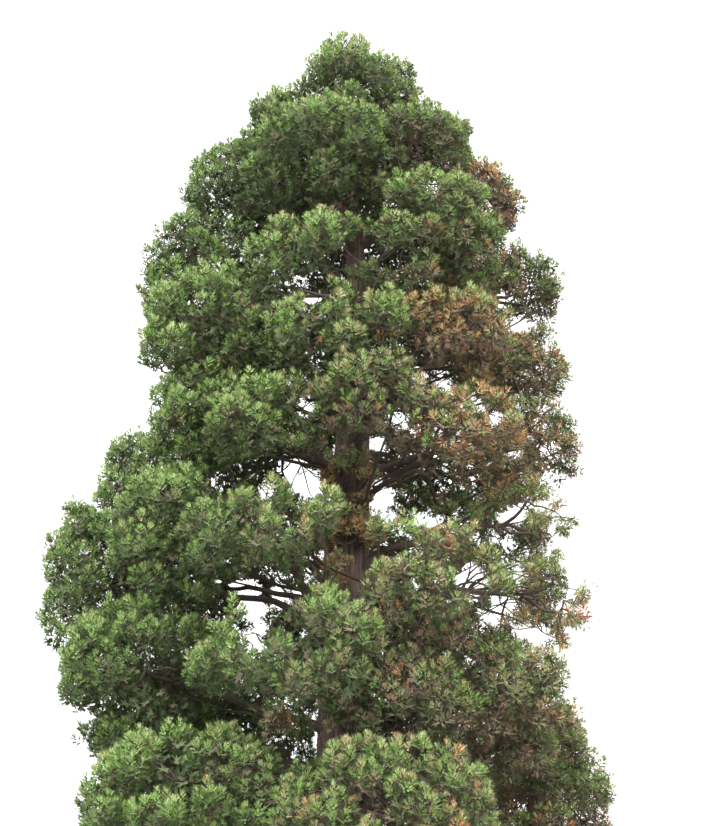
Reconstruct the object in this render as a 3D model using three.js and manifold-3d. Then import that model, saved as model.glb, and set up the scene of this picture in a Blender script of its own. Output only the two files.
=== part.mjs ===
// Giant sequoia, rooted in the ground: one trunk, eight main boughs and fifty-one masses of foliage.
// Millimetres, +Z up. The origin is the middle of the flat cut at ground level, with the front towards -Y.

import * as THREE from 'three';
import { mergeVertices } from 'three/addons/utils/BufferGeometryUtils.js';
import Module from 'manifold-3d';

const wasm = await Module();
wasm.setup();

const metre = 1000;
const weld = 0.01;
const up = new THREE.Vector3(0, 0, 1);
const right = new THREE.Vector3(1, 0, 0);

// Trunk: a straight taper, a root flare that stands out in buttresses, and a slight sway in its upper half
const trunkHeight = 25.6 * metre;
const trunkRadius = 0.86 * metre;
const trunkTipRadius = 0.035 * metre;
const flareWidth = 0.36 * metre;
const flareHeight = 0.55 * metre;
const buttressCount = 7;
const buttressDepth = 0.16;
const swayStart = 10 * metre;
const sway = 0.22 * metre;
const trunkRings = [0, 0.15, 0.4, 0.8, 1.5, 3, 6, 9, 11.5, 14, 16.5, 19, 21.5, 24, 25.6];

// Clearances: between faces that meet, round a limb that a core passes, round a limb that a spray passes,
// and between the spaces of two masses
const seatGap = 0.3;
const coreGap = 40;
const leafGap = 12;
const spaceGap = 12;

// How much wider, towards the trunk, and taller the spaces of the masses are than their rows say, so that they
// close up into one crown
const spaceWiden = 1.2;
const spaceHeighten = 1.16;

// Limbs: root and tip radius of a bough, of a stem that grows straight from the trunk, and of a twig
const boughRadii = [0.125 * metre, 0.062 * metre];
const stemRadii = [0.085 * metre, 0.045 * metre];
const twigRadii = [0.034 * metre, 0.02 * metre];
const limbSides = 6;
const limbSteps = 5;
const stemSides = 4;
const stemSteps = 3;
const twigSides = 3;
const leaderStem = 0.2 * metre;
const trackSamples = 48;

// Where a limb bends on its way out, where it meets its mass's space, and where its stem forks: shares of the
// way out, and of the depth of the space from its middle
const bendShare = 0.42;
const entryShare = 0.96;
const heartShare = 0.3;

// Foliage, in shares of a mass's space: how much of it the core fills and how bumpy that is, where the main
// twigs fork and the sprays have their roots, and how far the sprays reach. The side towards the trunk stays
// bare. A spray's half width and its thickness are shares of its length.
const coreShare = 0.75;
const coreBumps = 0.1;
const coreSides = 7;
const coreRings = 4;
const goldenAngle = Math.PI * (3 - Math.sqrt(5));
const forkShare = 0.4;
const sideTwigs = 3;
const sideFan = 0.72;
const rootShare = 0.46;
const sprayLift = 0.3;
const sprayWidth = 0.48;
const sprayThickness = 0.16;
const sprayReach = 0.985;
const sprayTrims = [1, 0.86, 0.72];
const twigGrip = 0.3;
const bareSide = 0.35;

// A spray is a toothed blade of three shoots: half its outline, along and across, in lengths and half widths
const bladeHalf = [[0.78, 1], [0.6, 0.36]];
const bladeMiddle = 0.44;

// The masses. Each row gives a name, the bearing round the trunk in degrees (0 to the front, + to the right),
// the distance out, height, half width and half height of its space before it closes up, the height at which
// its limb leaves the trunk and how far that limb lifts on its way out (all in metres), its main twigs, its
// build and its tint.
const massRows = [
  ['crown_tip', 0, 0, 25.1, 0.86, 1.1, 25.6, 0, 4, 'dense', 'green'],
  ['top_right', 88, 1.15, 24.2, 0.98, 1.15, 23.7, 0.1, 3, 'dense', 'green'],
  ['top_left', -92, 1.75, 22.95, 1.35, 1.35, 22.5, 0.2, 3, 'dense', 'green'],
  ['top_front', 0, 1.35, 23.3, 1.43, 1.38, 22.2, 0.2, 3, 'dense', 'green'],
  ['top_back', 180, 1.33, 23.6, 1.56, 1.56, 22.4, 0.2, 3, 'dense', 'green'],
  ['right_shoulder', 84, 2.05, 22.35, 1.4, 1.4, 21.5, 0.2, 3, 'dense', 'green'],
  ['left_shoulder', -88, 2.98, 20.92, 1.6, 1.5, 20.1, 0.3, 4, 'dense', 'green'],
  ['front_upper', -17, 2.54, 20.6, 2.08, 1.44, 19.3, 0.3, 4, 'dense', 'green'],
  ['front_right_upper', 38, 2.66, 21.1, 1.37, 1.25, 20.1, 0.2, 3, 'dense', 'mixed'],
  ['right_upper', 80, 3.25, 20.4, 1.25, 1.4, 19.6, 0.2, 3, 'dense', 'brown'],
  ['back_left_upper', -138, 2.48, 21.5, 1.82, 1.69, 20.3, 0.2, 3, 'dense', 'green'],
  ['back_right_upper', 132, 2.48, 21.3, 1.82, 1.69, 20.5, 0.2, 3, 'dense', 'green'],
  ['back_upper', 178, 2.79, 19.6, 1.82, 1.62, 18.7, 0.3, 3, 'dense', 'green'],
  ['left_high', -84, 4.02, 18.55, 1.5, 1.75, 17.5, 0.5, 4, 'dense', 'green'],
  ['right_high', 29, 3.93, 17.9, 1.56, 1.75, 17.9, 1, 4, 'dense', 'green'],
  ['right_edge_high', 90, 4.12, 18.2, 1.2, 1.35, 17.2, 0.6, 3, 'dense', 'mixed'],
  ['front_high', -14, 4.1, 17.1, 1.45, 1, 16.3, 0.9, 3, 'dense', 'green'],
  ['back_left_high', -128, 3.65, 18.3, 2.02, 1.94, 17, 0.4, 3, 'dense', 'green'],
  ['back_right_high', 126, 3.65, 18.1, 2.02, 1.94, 16.9, 0.4, 3, 'dense', 'green'],
  ['back_high', 180, 3.65, 16.6, 2.02, 1.81, 15.6, 0.4, 3, 'dense', 'green'],
  ['front_mid', -4, 3.96, 15.1, 1.69, 1.12, 14.6, 0.5, 3, 'dense', 'green'],
  ['left_mid', -55, 4.02, 15.8, 2, 1.6, 15, 0.7, 4, 'dense', 'green'],
  ['right_brown', 35, 4.2, 15.4, 1.43, 1.12, 15, 0.7, 3, 'dense', 'brown'],
  ['right_mid', 82, 3.95, 15.75, 1.4, 1.4, 15.6, 0.6, 3, 'dense', 'mixed'],
  ['front_heart', 6, 4.26, 13.5, 1.37, 1, 13.4, 0.4, 3, 'dense', 'mixed'],
  ['left_heart', -55, 4.1, 13.8, 1.45, 1.38, 12.5, 1.7, 3, 'dense', 'green'],
  ['front_left_heart', -25, 4.26, 13.1, 1.37, 1, 12.9, 0.5, 3, 'dense', 'green'],
  ['right_dark', 84, 4.22, 13.95, 1.4, 1.3, 13.4, 0.4, 3, 'dense', 'dark'],
  ['right_rust', 34, 4.35, 12.9, 1.43, 1.12, 12.3, 0.4, 3, 'dense', 'brown'],
  ['left_edge_mid', -90, 5.05, 12.95, 1.15, 1.4, 11.8, 0.6, 3, 'dense', 'green'],
  ['back_left_mid', -140, 4.04, 14.9, 2.08, 1.94, 13.7, 0.4, 3, 'dense', 'green'],
  ['back_right_mid', 138, 4.04, 14.7, 2.08, 1.94, 13.9, 0.4, 3, 'dense', 'green'],
  ['left_edge_low', -90, 5.8, 10.7, 1.35, 2.35, 9.5, 1, 4, 'dense', 'green'],
  ['left_low', -57, 4.42, 10.9, 1.62, 1.75, 8.7, 1.6, 4, 'dense', 'green'],
  ['front_low_left', -20, 4.38, 10.4, 1.82, 1.12, 10.1, 0.5, 4, 'dense', 'green'],
  ['trunk_clump', 2, 1.05, 11.9, 0.76, 1.7, 11.6, 0.1, 2, 'dense', 'brown'],
  ['right_open', 62, 4.62, 11.45, 1.35, 1.15, 10.9, 0.7, 4, 'open', 'mixed'],
  ['right_arching', 62, 4.95, 9.75, 1.2, 1, 9.5, 0.9, 4, 'open', 'mixed'],
  ['front_low_right', 21, 4.38, 9.3, 1.82, 1.56, 8.3, 0.6, 4, 'dense', 'green'],
  ['front_foot_right', 17, 4.2, 7, 1.45, 1.2, 6.1, 0.3, 3, 'dense', 'dark'],
  ['right_foot', 49, 4.38, 7.2, 1.57, 1.45, 6.6, 0.4, 3, 'dense', 'dark'],
  ['right_edge_foot', 82, 4.6, 5.3, 1.4, 2.05, 4.9, 0.4, 4, 'dense', 'dark'],
  ['front_foot_left', -11, 4.44, 7.8, 2.1, 1.44, 7.3, 0.5, 4, 'dense', 'green'],
  ['left_foot', -66, 5, 8, 1.65, 1.85, 7.1, 0.6, 3, 'dense', 'green'],
  ['back_left_low', -124, 4.62, 11.3, 2.15, 2.19, 10.3, 0.5, 3, 'dense', 'green'],
  ['back_right_low', 112, 3.75, 10.9, 2, 2.25, 9.8, 0.5, 3, 'dense', 'green'],
  ['back_low', 180, 4.54, 11.3, 2.2, 2.2, 10.8, 0.5, 3, 'dense', 'green'],
  ['front_skirt_left', -42, 4.75, 5, 2.1, 1.62, 4.9, 0.3, 3, 'dense', 'green'],
  ['front_skirt_right', 10, 4.64, 4.6, 2.1, 1.62, 5.4, 0.3, 3, 'dense', 'mixed'],
  ['back_left_foot', -130, 4.55, 7.2, 2.55, 2.4, 6.4, 0.4, 3, 'dense', 'green'],
  ['back_right_foot', 132, 4.5, 7, 2.55, 2.4, 5.9, 0.4, 3, 'dense', 'green'],
];

// The masses that a main bough carries; the others grow straight from the trunk on their own stems
const boughFor = {
  front_high: 'bough_front_high',
  right_high: 'bough_right_high',
  right_mid: 'bough_right_mid',
  left_mid: 'bough_left_mid',
  left_heart: 'bough_left_big',
  left_low: 'bough_left_low',
  right_open: 'bough_right_open',
  right_arching: 'bough_right_arching',
};

const barkColour = '#6b5c49';
const boughColour = '#5a4f43';
const tintColours = { green: '#5f7042', dark: '#454c33', mixed: '#6f6a48', brown: '#77624a' };

// Repeatable draws between 0 and 1
function seededDraws(seed) {
  let state = seed;
  return () => {
    state = (Math.imul(state, 1664525) + 1013904223) >>> 0;
    return state / 4294967296;
  };
}

// A closed solid from a geometry, with its shared vertices merged and its empty triangles left out
function solidFrom(geometry) {
  const source = geometry.clone();
  source.deleteAttribute('normal');
  source.deleteAttribute('uv');
  const merged = mergeVertices(source, weld);
  const corners = merged.index.array;
  const kept = [];
  for (let i = 0; i < corners.length; i += 3) {
    const [a, b, c] = [corners[i], corners[i + 1], corners[i + 2]];
    if (a !== b && b !== c && c !== a) kept.push(a, b, c);
  }
  return new wasm.Manifold(new wasm.Mesh({
    numProp: 3,
    vertProperties: new Float32Array(merged.attributes.position.array),
    triVerts: new Uint32Array(kept),
  }));
}

// The largest piece of a solid: loose scraps and sealed hollows are separate pieces, and are dropped
function mainPiece(solid) {
  const pieces = solid.decompose();
  return pieces.reduce((best, piece) => (piece.volume() > best.volume() ? piece : best));
}

// A named mesh whose own origin is at a given place in the tree
function namedMesh(name, solid, origin, colour, roughness) {
  const cut = solid.translate([-origin.x, -origin.y, -origin.z]).getMesh();
  const geometry = new THREE.BufferGeometry();
  geometry.setAttribute('position', new THREE.BufferAttribute(new Float32Array(cut.vertProperties), 3));
  geometry.setIndex(new THREE.BufferAttribute(new Uint32Array(cut.triVerts), 1));
  geometry.computeVertexNormals();
  const material = new THREE.MeshStandardMaterial({ color: colour, roughness, metalness: 0 });
  const mesh = new THREE.Mesh(geometry, material);
  mesh.name = name;
  mesh.position.copy(origin);
  return mesh;
}

// Trunk

function trunkRadiusAt(z) {
  const taper = trunkRadius + (trunkTipRadius - trunkRadius) * (z / trunkHeight);
  return taper + flareWidth * Math.exp(-z / flareHeight);
}

function trunkAxisAt(z) {
  const along = Math.max(0, (z - swayStart) / (trunkHeight - swayStart));
  return new THREE.Vector3(sway * Math.sin(Math.PI * Math.min(along, 1)) ** 2, 0, z);
}

function trunkSolid(grow) {
  const profile = [new THREE.Vector2(0, 0)];
  for (const ring of trunkRings) {
    const z = ring * metre;
    profile.push(new THREE.Vector2(trunkRadiusAt(z) + grow, z + (ring === trunkRings.at(-1) ? grow : 0)));
  }
  profile.push(new THREE.Vector2(0, trunkHeight + grow));
  const geometry = new THREE.LatheGeometry(profile, buttressCount * 2);
  geometry.rotateX(Math.PI / 2);
  const position = geometry.attributes.position;
  const point = new THREE.Vector3();
  for (let i = 0; i < position.count; i++) {
    point.fromBufferAttribute(position, i);
    const lobe = Math.cos(buttressCount * Math.atan2(point.x, -point.y));
    const depth = buttressDepth * Math.exp(-point.z / flareHeight);
    const swell = 1 + depth * lobe;
    const axis = trunkAxisAt(point.z);
    position.setXYZ(i, point.x * swell + axis.x, point.y * swell, point.z);
  }
  return solidFrom(geometry);
}

const trunk = trunkSolid(0);
const trunkSeat = trunkSolid(seatGap);
const trunkClear = trunkSolid(coreGap);

// Limbs

// A tapered limb along a curve, from its root radius to its tip radius
function limbSolid(curve, radii, sides, steps) {
  const geometry = new THREE.CylinderGeometry(radii[1], radii[0], 1, sides, steps);
  const frames = curve.computeFrenetFrames(steps);
  const position = geometry.attributes.position;
  for (let i = 0; i < position.count; i++) {
    const along = position.getY(i) + 0.5;
    const step = Math.round(along * steps);
    const point = curve.getPointAt(along);
    point.addScaledVector(frames.normals[step], position.getX(i));
    point.addScaledVector(frames.binormals[step], -position.getZ(i));
    position.setXYZ(i, point.x, point.y, point.z);
  }
  return solidFrom(geometry);
}

function straight(from, to) {
  return new THREE.LineCurve3(from, to);
}

// The points along a limb, with its radius at each, from which foliage measures how near it comes
function limbTrack(owner, curve, radii) {
  return Array.from({ length: trackSamples + 1 }, (_, i) => ({
    owner,
    point: curve.getPointAt(i / trackSamples),
    radius: THREE.MathUtils.lerp(radii[0], radii[1], i / trackSamples),
  }));
}

// Each mass's space and limb

// How far a mass's space reaches along a unit direction from its middle
function reachAlong(mass, direction) {
  return 1 / direction.clone().divide(mass.reach).length();
}

function planMass(row, index) {
  const [name, bearing, out, height, halfWidth, halfHeight, limbHeight, lift, forks, build, tint] = row;
  const angle = THREE.MathUtils.degToRad(bearing);
  const axis = trunkAxisAt(height * metre);
  const away = Math.max(0, out - (spaceWiden - 1) * halfWidth) * metre;
  const centre = new THREE.Vector3(axis.x + away * Math.sin(angle), -away * Math.cos(angle), height * metre);
  const reach = new THREE.Vector3(spaceWiden * halfWidth, spaceWiden * halfWidth, spaceHeighten * halfHeight)
    .multiplyScalar(metre);
  const mass = { name, index, centre, reach, forks, build, tint, draw: seededDraws(7919 * (index + 1)) };

  const root = trunkAxisAt(limbHeight * metre);
  const bend = root.clone().lerp(centre, bendShare);
  bend.z = Math.max(root.z, centre.z - 0.4 * reach.z) + lift * metre;
  const arrival = centre.clone().sub(bend).normalize();
  const depth = reachAlong(mass, arrival);
  mass.heart = centre.clone().addScaledVector(arrival, -heartShare * depth);
  mass.entry = centre.clone().addScaledVector(arrival, -entryShare * depth);
  mass.inward = new THREE.Vector3(-Math.sin(angle), Math.cos(angle), 0).multiplyScalar(Math.sign(out));
  mass.bough = boughFor[name];
  mass.limb = new THREE.QuadraticBezierCurve3(root, bend, mass.bough ? mass.entry : mass.heart);
  if (out === 0) {
    mass.heart = new THREE.Vector3(0, 0, trunkHeight + leaderStem);
    mass.limb = straight(new THREE.Vector3(0, 0, trunkHeight + seatGap), mass.heart);
  }
  return mass;
}

const masses = massRows.map(planMass);

// The planes that part two masses where their spaces would meet, each told as a direction and a distance
for (const mass of masses) {
  mass.walls = [];
  for (const other of masses) {
    if (other === mass) continue;
    const direction = other.centre.clone().sub(mass.centre);
    const distance = direction.length();
    direction.divideScalar(distance);
    const mine = direction.clone().multiply(mass.reach).length();
    const theirs = direction.clone().multiply(other.reach).length();
    if (mine + theirs + spaceGap > distance) {
      mass.walls.push({ direction, limit: distance * mine / (mine + theirs) - spaceGap / 2 });
    }
  }
}

const tracks = masses.flatMap((mass) => limbTrack(mass, mass.limb, mass.bough ? boughRadii : stemRadii));

// Whether a point keeps to its mass's own space
function isInside(mass, point) {
  const offset = point.clone().sub(mass.centre);
  if (offset.clone().divide(mass.reach).length() > 1) return false;
  return mass.walls.every((wall) => offset.dot(wall.direction) < wall.limit);
}

// Whether a spray, told by its points and half its thickness, passes clear of the trunk and of the limbs
function isClear(mass, points, halfThickness) {
  const room = halfThickness + leafGap;
  return points.every((point) => {
    const axis = trunkAxisAt(point.z);
    const fromAxis = Math.hypot(point.x - axis.x, point.y - axis.y);
    if (point.z < trunkHeight + leafGap && fromAxis < trunkRadiusAt(point.z) + room) return false;
    return tracks.every((track) => (track.owner === mass && !mass.bough)
      || track.point.distanceTo(point) > track.radius + room);
  });
}

// Foliage

// One spray: a toothed blade that runs from its root along a direction, thickest near its middle
function spraySolid(root, along, across, length) {
  const face = new THREE.Vector3().crossVectors(along, across).normalize();
  const width = length * sprayWidth;
  const place = (a, b, c) => root.clone().addScaledVector(along, a * length)
    .addScaledVector(across, b * width).addScaledVector(face, c);
  const rim = [place(0, 0, 0)];
  for (const [a, b] of bladeHalf) rim.push(place(a, b, 0));
  rim.push(place(1, 0, 0));
  for (const [a, b] of [...bladeHalf].reverse()) rim.push(place(a, -b, 0));
  const crowns = [1, -1].map((side) => place(bladeMiddle, 0, side * length * sprayThickness / 2));
  const geometry = new THREE.BufferGeometry().setFromPoints([...rim, ...crowns]);
  const faces = [];
  for (let i = 0; i < rim.length; i++) {
    const next = (i + 1) % rim.length;
    faces.push(next, i, rim.length, i, next, rim.length + 1);
  }
  geometry.setIndex(faces);
  const points = [...rim.slice(1), place(0.5, 0.5, 0), place(0.5, -0.5, 0)];
  return { solid: solidFrom(geometry), points, thickness: length * sprayThickness };
}

// How far a ray from a point inside the space runs before it leaves it
function wayOut(mass, from, direction) {
  const p = from.clone().sub(mass.centre).divide(mass.reach);
  const d = direction.clone().divide(mass.reach);
  const [a, b, c] = [d.dot(d), 2 * p.dot(d), p.dot(p) - sprayReach * sprayReach];
  return (-b + Math.sqrt(Math.max(0, b * b - 4 * a * c))) / (2 * a);
}

// The core of a dense mass: a bumpy ball that keeps inside the space, cut clear of the trunk and of the limbs
function coreSolid(mass) {
  const geometry = new THREE.SphereGeometry(1, coreSides, coreRings).rotateX(Math.PI / 2);
  geometry.deleteAttribute('normal');
  geometry.deleteAttribute('uv');
  const ball = mergeVertices(geometry, weld / metre);
  const position = ball.attributes.position;
  for (let i = 0; i < position.count; i++) {
    const offset = new THREE.Vector3().fromBufferAttribute(position, i).normalize();
    offset.multiply(mass.reach).multiplyScalar(coreShare * (1 + coreBumps * (2 * mass.draw() - 1)));
    for (const wall of mass.walls) {
      const run = offset.dot(wall.direction);
      if (run > wall.limit) offset.multiplyScalar(wall.limit / run);
    }
    offset.add(mass.centre);
    position.setXYZ(i, offset.x, offset.y, offset.z);
  }
  let core = solidFrom(ball).subtract(trunkClear);
  for (const other of masses) {
    if (other === mass && !mass.bough) continue;
    const radii = (other.bough ? boughRadii : stemRadii).map((radius) => radius + coreGap);
    const nearest = Math.max(...mass.reach.toArray()) + radii[0];
    const track = limbTrack(other, other.limb, radii);
    if (track.every(({ point }) => point.distanceTo(mass.centre) > nearest)) continue;
    core = core.subtract(limbSolid(other.limb, radii, limbSides, limbSteps));
  }
  return core;
}

// A direction turned from another by a fan angle, at a given turn round it
function fanned(direction, fan, turn) {
  const aside = Math.abs(direction.z) < 0.9 ? up : right;
  const lean = new THREE.Vector3().crossVectors(direction, aside).normalize().applyAxisAngle(direction, turn);
  return direction.clone().multiplyScalar(Math.cos(fan)).addScaledVector(lean, Math.sin(fan)).normalize();
}

// A mass: its stem runs to the heart and forks into main twigs dealt evenly round the space. Each forks again
// into side twigs, and each side twig ends in a spray that rises a little towards the light. One that would
// leave the space or touch a limb is skipped. In a dense mass the twigs lie inside the core.
function massSolid(mass) {
  const dense = mass.build === 'dense';
  let solid = mass.bough
    ? limbSolid(straight(mass.entry.clone().addScaledVector(mass.limb.getTangentAt(1), seatGap), mass.heart),
      [boughRadii[1], stemRadii[1]], limbSides, 1)
    : limbSolid(mass.limb, stemRadii, stemSides, mass.limb.isLineCurve3 ? 1 : stemSteps).subtract(trunkSeat);
  if (dense) solid = solid.add(coreSolid(mass));
  const firstTurn = 2 * Math.PI * mass.draw();
  for (let i = 0; i < mass.forks; i++) {
    const rise = 1 - 2 * (i + 0.5) / mass.forks;
    const turn = firstTurn + i * goldenAngle;
    const level = Math.sqrt(1 - rise * rise);
    const main = new THREE.Vector3(level * Math.cos(turn), level * Math.sin(turn), rise);
    const fork = main.clone().multiply(mass.reach).multiplyScalar(forkShare).add(mass.centre);
    if (!dense) solid = solid.add(limbSolid(straight(mass.heart, fork), twigRadii, twigSides, 1));
    const spin = 2 * Math.PI * mass.draw();
    for (let j = 0; j < sideTwigs; j++) {
      const side = fanned(main, sideFan * (0.85 + 0.3 * mass.draw()), spin + j * 2 * Math.PI / sideTwigs);
      if (side.dot(mass.inward) > bareSide) continue;
      const root = side.clone().multiply(mass.reach).multiplyScalar(rootShare).add(mass.centre);
      const along = root.clone().sub(mass.centre).normalize();
      along.addScaledVector(up, sprayLift * mass.draw()).normalize();
      const across = fanned(along, Math.PI / 2, 2 * Math.PI * mass.draw());
      const length = wayOut(mass, root, along);
      const spray = sprayTrims.map((part) => spraySolid(root, along, across, length * part))
        .find((entry) => entry.points.every((point) => isInside(mass, point))
          && isClear(mass, entry.points, entry.thickness / 2));
      if (!spray) continue;
      if (!dense) {
        const tip = root.clone().addScaledVector(along, twigGrip * length);
        solid = solid.add(limbSolid(straight(fork, tip), twigRadii, twigSides, 1));
      }
      solid = solid.add(spray.solid);
    }
  }
  return mainPiece(solid);
}

const tree = new THREE.Group();
tree.name = 'giant_sequoia';
tree.add(namedMesh('trunk', trunk, new THREE.Vector3(), barkColour, 0.95));

for (const mass of masses.filter((entry) => entry.bough)) {
  const limb = mainPiece(limbSolid(mass.limb, boughRadii, limbSides, limbSteps).subtract(trunkSeat));
  tree.add(namedMesh(mass.bough, limb, trunkAxisAt(mass.limb.v0.z), boughColour, 0.95));
}

for (const mass of masses) {
  tree.add(namedMesh(`foliage_${mass.name}`, massSolid(mass), mass.centre, tintColours[mass.tint], 0.9));
}

export default tree;
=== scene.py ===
# Giant sequoia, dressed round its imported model: furrowed bark on the trunk and boughs, twigs that fork on
# from the limbs by a seeded rule, and sprays of needles dealt over every mass of the crown.
# Metres, +Z up, the front towards -Y.

import math
import bmesh
import bpy
import numpy as np
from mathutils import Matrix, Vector, noise


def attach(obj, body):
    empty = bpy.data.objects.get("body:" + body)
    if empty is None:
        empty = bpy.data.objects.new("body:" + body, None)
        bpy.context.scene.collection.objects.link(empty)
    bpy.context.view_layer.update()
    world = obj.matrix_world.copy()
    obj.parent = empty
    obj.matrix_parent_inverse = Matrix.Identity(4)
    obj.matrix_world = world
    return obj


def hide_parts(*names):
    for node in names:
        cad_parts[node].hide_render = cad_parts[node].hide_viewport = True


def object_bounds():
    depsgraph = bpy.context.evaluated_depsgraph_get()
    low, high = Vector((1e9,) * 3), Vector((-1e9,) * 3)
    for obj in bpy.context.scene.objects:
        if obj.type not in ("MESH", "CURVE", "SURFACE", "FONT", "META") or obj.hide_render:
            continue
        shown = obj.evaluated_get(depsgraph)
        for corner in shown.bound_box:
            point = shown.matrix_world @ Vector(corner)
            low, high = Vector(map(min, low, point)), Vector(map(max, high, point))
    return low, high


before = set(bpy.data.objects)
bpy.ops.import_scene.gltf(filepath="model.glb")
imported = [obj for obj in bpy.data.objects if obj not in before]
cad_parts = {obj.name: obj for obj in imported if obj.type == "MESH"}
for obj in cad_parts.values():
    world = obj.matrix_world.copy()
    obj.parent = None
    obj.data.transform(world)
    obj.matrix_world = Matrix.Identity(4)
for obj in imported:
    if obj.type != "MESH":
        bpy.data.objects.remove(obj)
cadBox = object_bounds()
print("frame loaded with", len(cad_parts), "nodes")

upward = np.array([0.0, 0.0, 1.0])
sideward = np.array([1.0, 0.0, 0.0])
goldenAngle = math.pi * (3 - math.sqrt(5))


# Small helpers

def unit(vectors):
    lengths = np.linalg.norm(vectors, axis=-1, keepdims=True)
    return vectors / np.maximum(lengths, 1e-9)


def toLinear(hexColour):
    # a colour as it is seen on a screen, told as six hex digits, to the numbers that shaders take
    parts = [int(hexColour[i:i + 2], 16) / 255 for i in (0, 2, 4)]
    return [part / 12.92 if part <= 0.04045 else ((part + 0.055) / 1.055) ** 2.4 for part in parts] + [1.0]


def seededDraws(seed):
    # repeatable draws between 0 and 1, the same as the model's own
    state = [seed]

    def draw():
        state[0] = (state[0] * 1664525 + 1013904223) % 4294967296
        return state[0] / 4294967296
    return draw


def dealtDirections(count, firstTurn):
    # directions dealt evenly round a middle, from the top down
    step = np.arange(count)
    rise = 1 - 2 * (step + 0.5) / count
    turn = firstTurn + step * goldenAngle
    level = np.sqrt(1 - rise ** 2)
    return np.stack([level * np.cos(turn), level * np.sin(turn), rise], axis=1)


def acrossFrom(directions):
    # directions square to others: level ones, unless those stand nearly upright
    return unit(np.cross(directions, np.where(np.abs(directions[..., 2:3]) < 0.9, upward, sideward)))


def fanned(directions, fan, turn):
    # directions leant away from others by a fan angle, at a given turn round them
    across = acrossFrom(directions)
    over = np.cross(directions, across)
    lean = across * np.cos(turn)[..., None] + over * np.sin(turn)[..., None]
    return unit(directions * np.cos(fan)[..., None] + lean * np.sin(fan)[..., None])


def meshFromArrays(name, points, faces):
    # one joined mesh from arrays of points and of faces, for the many small things
    mesh = bpy.data.meshes.new(name)
    mesh.vertices.add(len(points))
    mesh.vertices.foreach_set("co", points.astype(np.float32).ravel())
    mesh.loops.add(faces.size)
    mesh.loops.foreach_set("vertex_index", faces.astype(np.int32).ravel())
    mesh.polygons.add(len(faces))
    mesh.polygons.foreach_set("loop_start", np.arange(0, faces.size, faces.shape[1], dtype=np.int32))
    mesh.update(calc_edges=True)
    return addPiece(name, mesh)


def meshFrom(name, bm):
    mesh = bpy.data.meshes.new(name)
    bm.to_mesh(mesh)
    bm.free()
    return mesh


def addPiece(name, mesh):
    piece = bpy.data.objects.new(name, mesh)
    bpy.context.scene.collection.objects.link(piece)
    return piece


def finishPiece(piece, material, nodes):
    piece.data.materials.clear()
    piece.data.materials.append(material)
    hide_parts(*nodes)
    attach(piece, "root")


# Materials

def newMaterial(name):
    material = bpy.data.materials.new(name)
    material.use_nodes = True
    nodes = material.node_tree.nodes
    nodes.clear()
    output = nodes.new("ShaderNodeOutputMaterial")
    shader = nodes.new("ShaderNodeBsdfPrincipled")
    material.node_tree.links.new(shader.outputs["BSDF"], output.inputs["Surface"])
    return material, shader


def feed(material, socket, value):
    # a socket takes a plain value, or another node's output
    if isinstance(value, bpy.types.NodeSocket):
        material.node_tree.links.new(value, socket)
    else:
        socket.default_value = value


def addNode(material, kind, settings=None, **inputs):
    node = material.node_tree.nodes.new(kind)
    for name, value in (settings or {}).items():
        setattr(node, name, value)
    for name, value in inputs.items():
        feed(material, node.inputs[name.replace("_", " ")], value)
    return node


def mathOf(material, operation, first, second):
    node = addNode(material, "ShaderNodeMath", {"operation": operation})
    feed(material, node.inputs[0], first)
    feed(material, node.inputs[1], second)
    return node.outputs[0]


def rampBetween(material, factor, stops):
    ramp = addNode(material, "ShaderNodeValToRGB", Fac=factor)
    elements = ramp.color_ramp.elements
    elements[0].position, elements[0].color = stops[0][0], toLinear(stops[0][1])
    elements[1].position, elements[1].color = stops[-1][0], toLinear(stops[-1][1])
    for place, colour in stops[1:-1]:
        elements.new(place).color = toLinear(colour)
    return ramp.outputs["Color"]


def objectPattern(material, kind, scale, stretch=(1, 1, 1), **inputs):
    # a noise or cell pattern in the piece's own coordinates
    place = addNode(material, "ShaderNodeTexCoord")
    mapping = addNode(material, "ShaderNodeMapping", Vector=place.outputs["Object"], Scale=stretch)
    return addNode(material, kind, Vector=mapping.outputs["Vector"], Scale=scale, **inputs)


def finishShader(material, shader, finish, colour, height):
    # the shader's colour, its fine relief and how dull it is
    bump = addNode(material, "ShaderNodeBump", Height=height, Strength=finish["relief"],
                   Distance=finish["depth"])
    feed(material, shader.inputs["Base Color"], colour)
    feed(material, shader.inputs["Normal"], bump.outputs["Normal"])
    shader.inputs["Roughness"].default_value = finish["roughness"]
    shader.inputs["Specular IOR Level"].default_value = finish["specular"]


needleFinish = {
    "patches": 1.7,  # in a metre
    "patchEdges": (0.36, 0.64),
    "scales": 130.0,  # scale leaves in a metre
    "scaleShade": 0.3,
    "relief": 0.35,
    "depth": 0.004,
    "roughness": 0.62,
    "specular": 0.3,
}

barkFinish = {
    "fibreStretch": (1, 1, 0.12),
    "blotches": 3.5,
    "weathered": "8a7d76",  # the greyer colour of the blotches, and how far they go to it
    "weathering": 0.7,
    "relief": 0.7,
    "depth": 0.03,
    "roughness": 0.93,
    "specular": 0.2,
}


def needleMaterial(name, dark, light):
    # overlapping scale leaves: patches of two near colours, broken up by small scales with a slight relief
    material, shader = newMaterial(name)
    patches = objectPattern(material, "ShaderNodeTexNoise", needleFinish["patches"],
                            Detail=4.0, Roughness=0.65)
    stops = list(zip(needleFinish["patchEdges"], (dark, light)))
    colour = rampBetween(material, patches.outputs["Fac"], stops)
    scales = objectPattern(material, "ShaderNodeTexVoronoi", needleFinish["scales"])
    shade = addNode(material, "ShaderNodeMix", {"data_type": "RGBA", "blend_type": "MULTIPLY"},
                    Factor=needleFinish["scaleShade"], A=colour, B=scales.outputs["Color"])
    finishShader(material, shader, needleFinish, shade.outputs["Result"], scales.outputs["Distance"])
    return material


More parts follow.
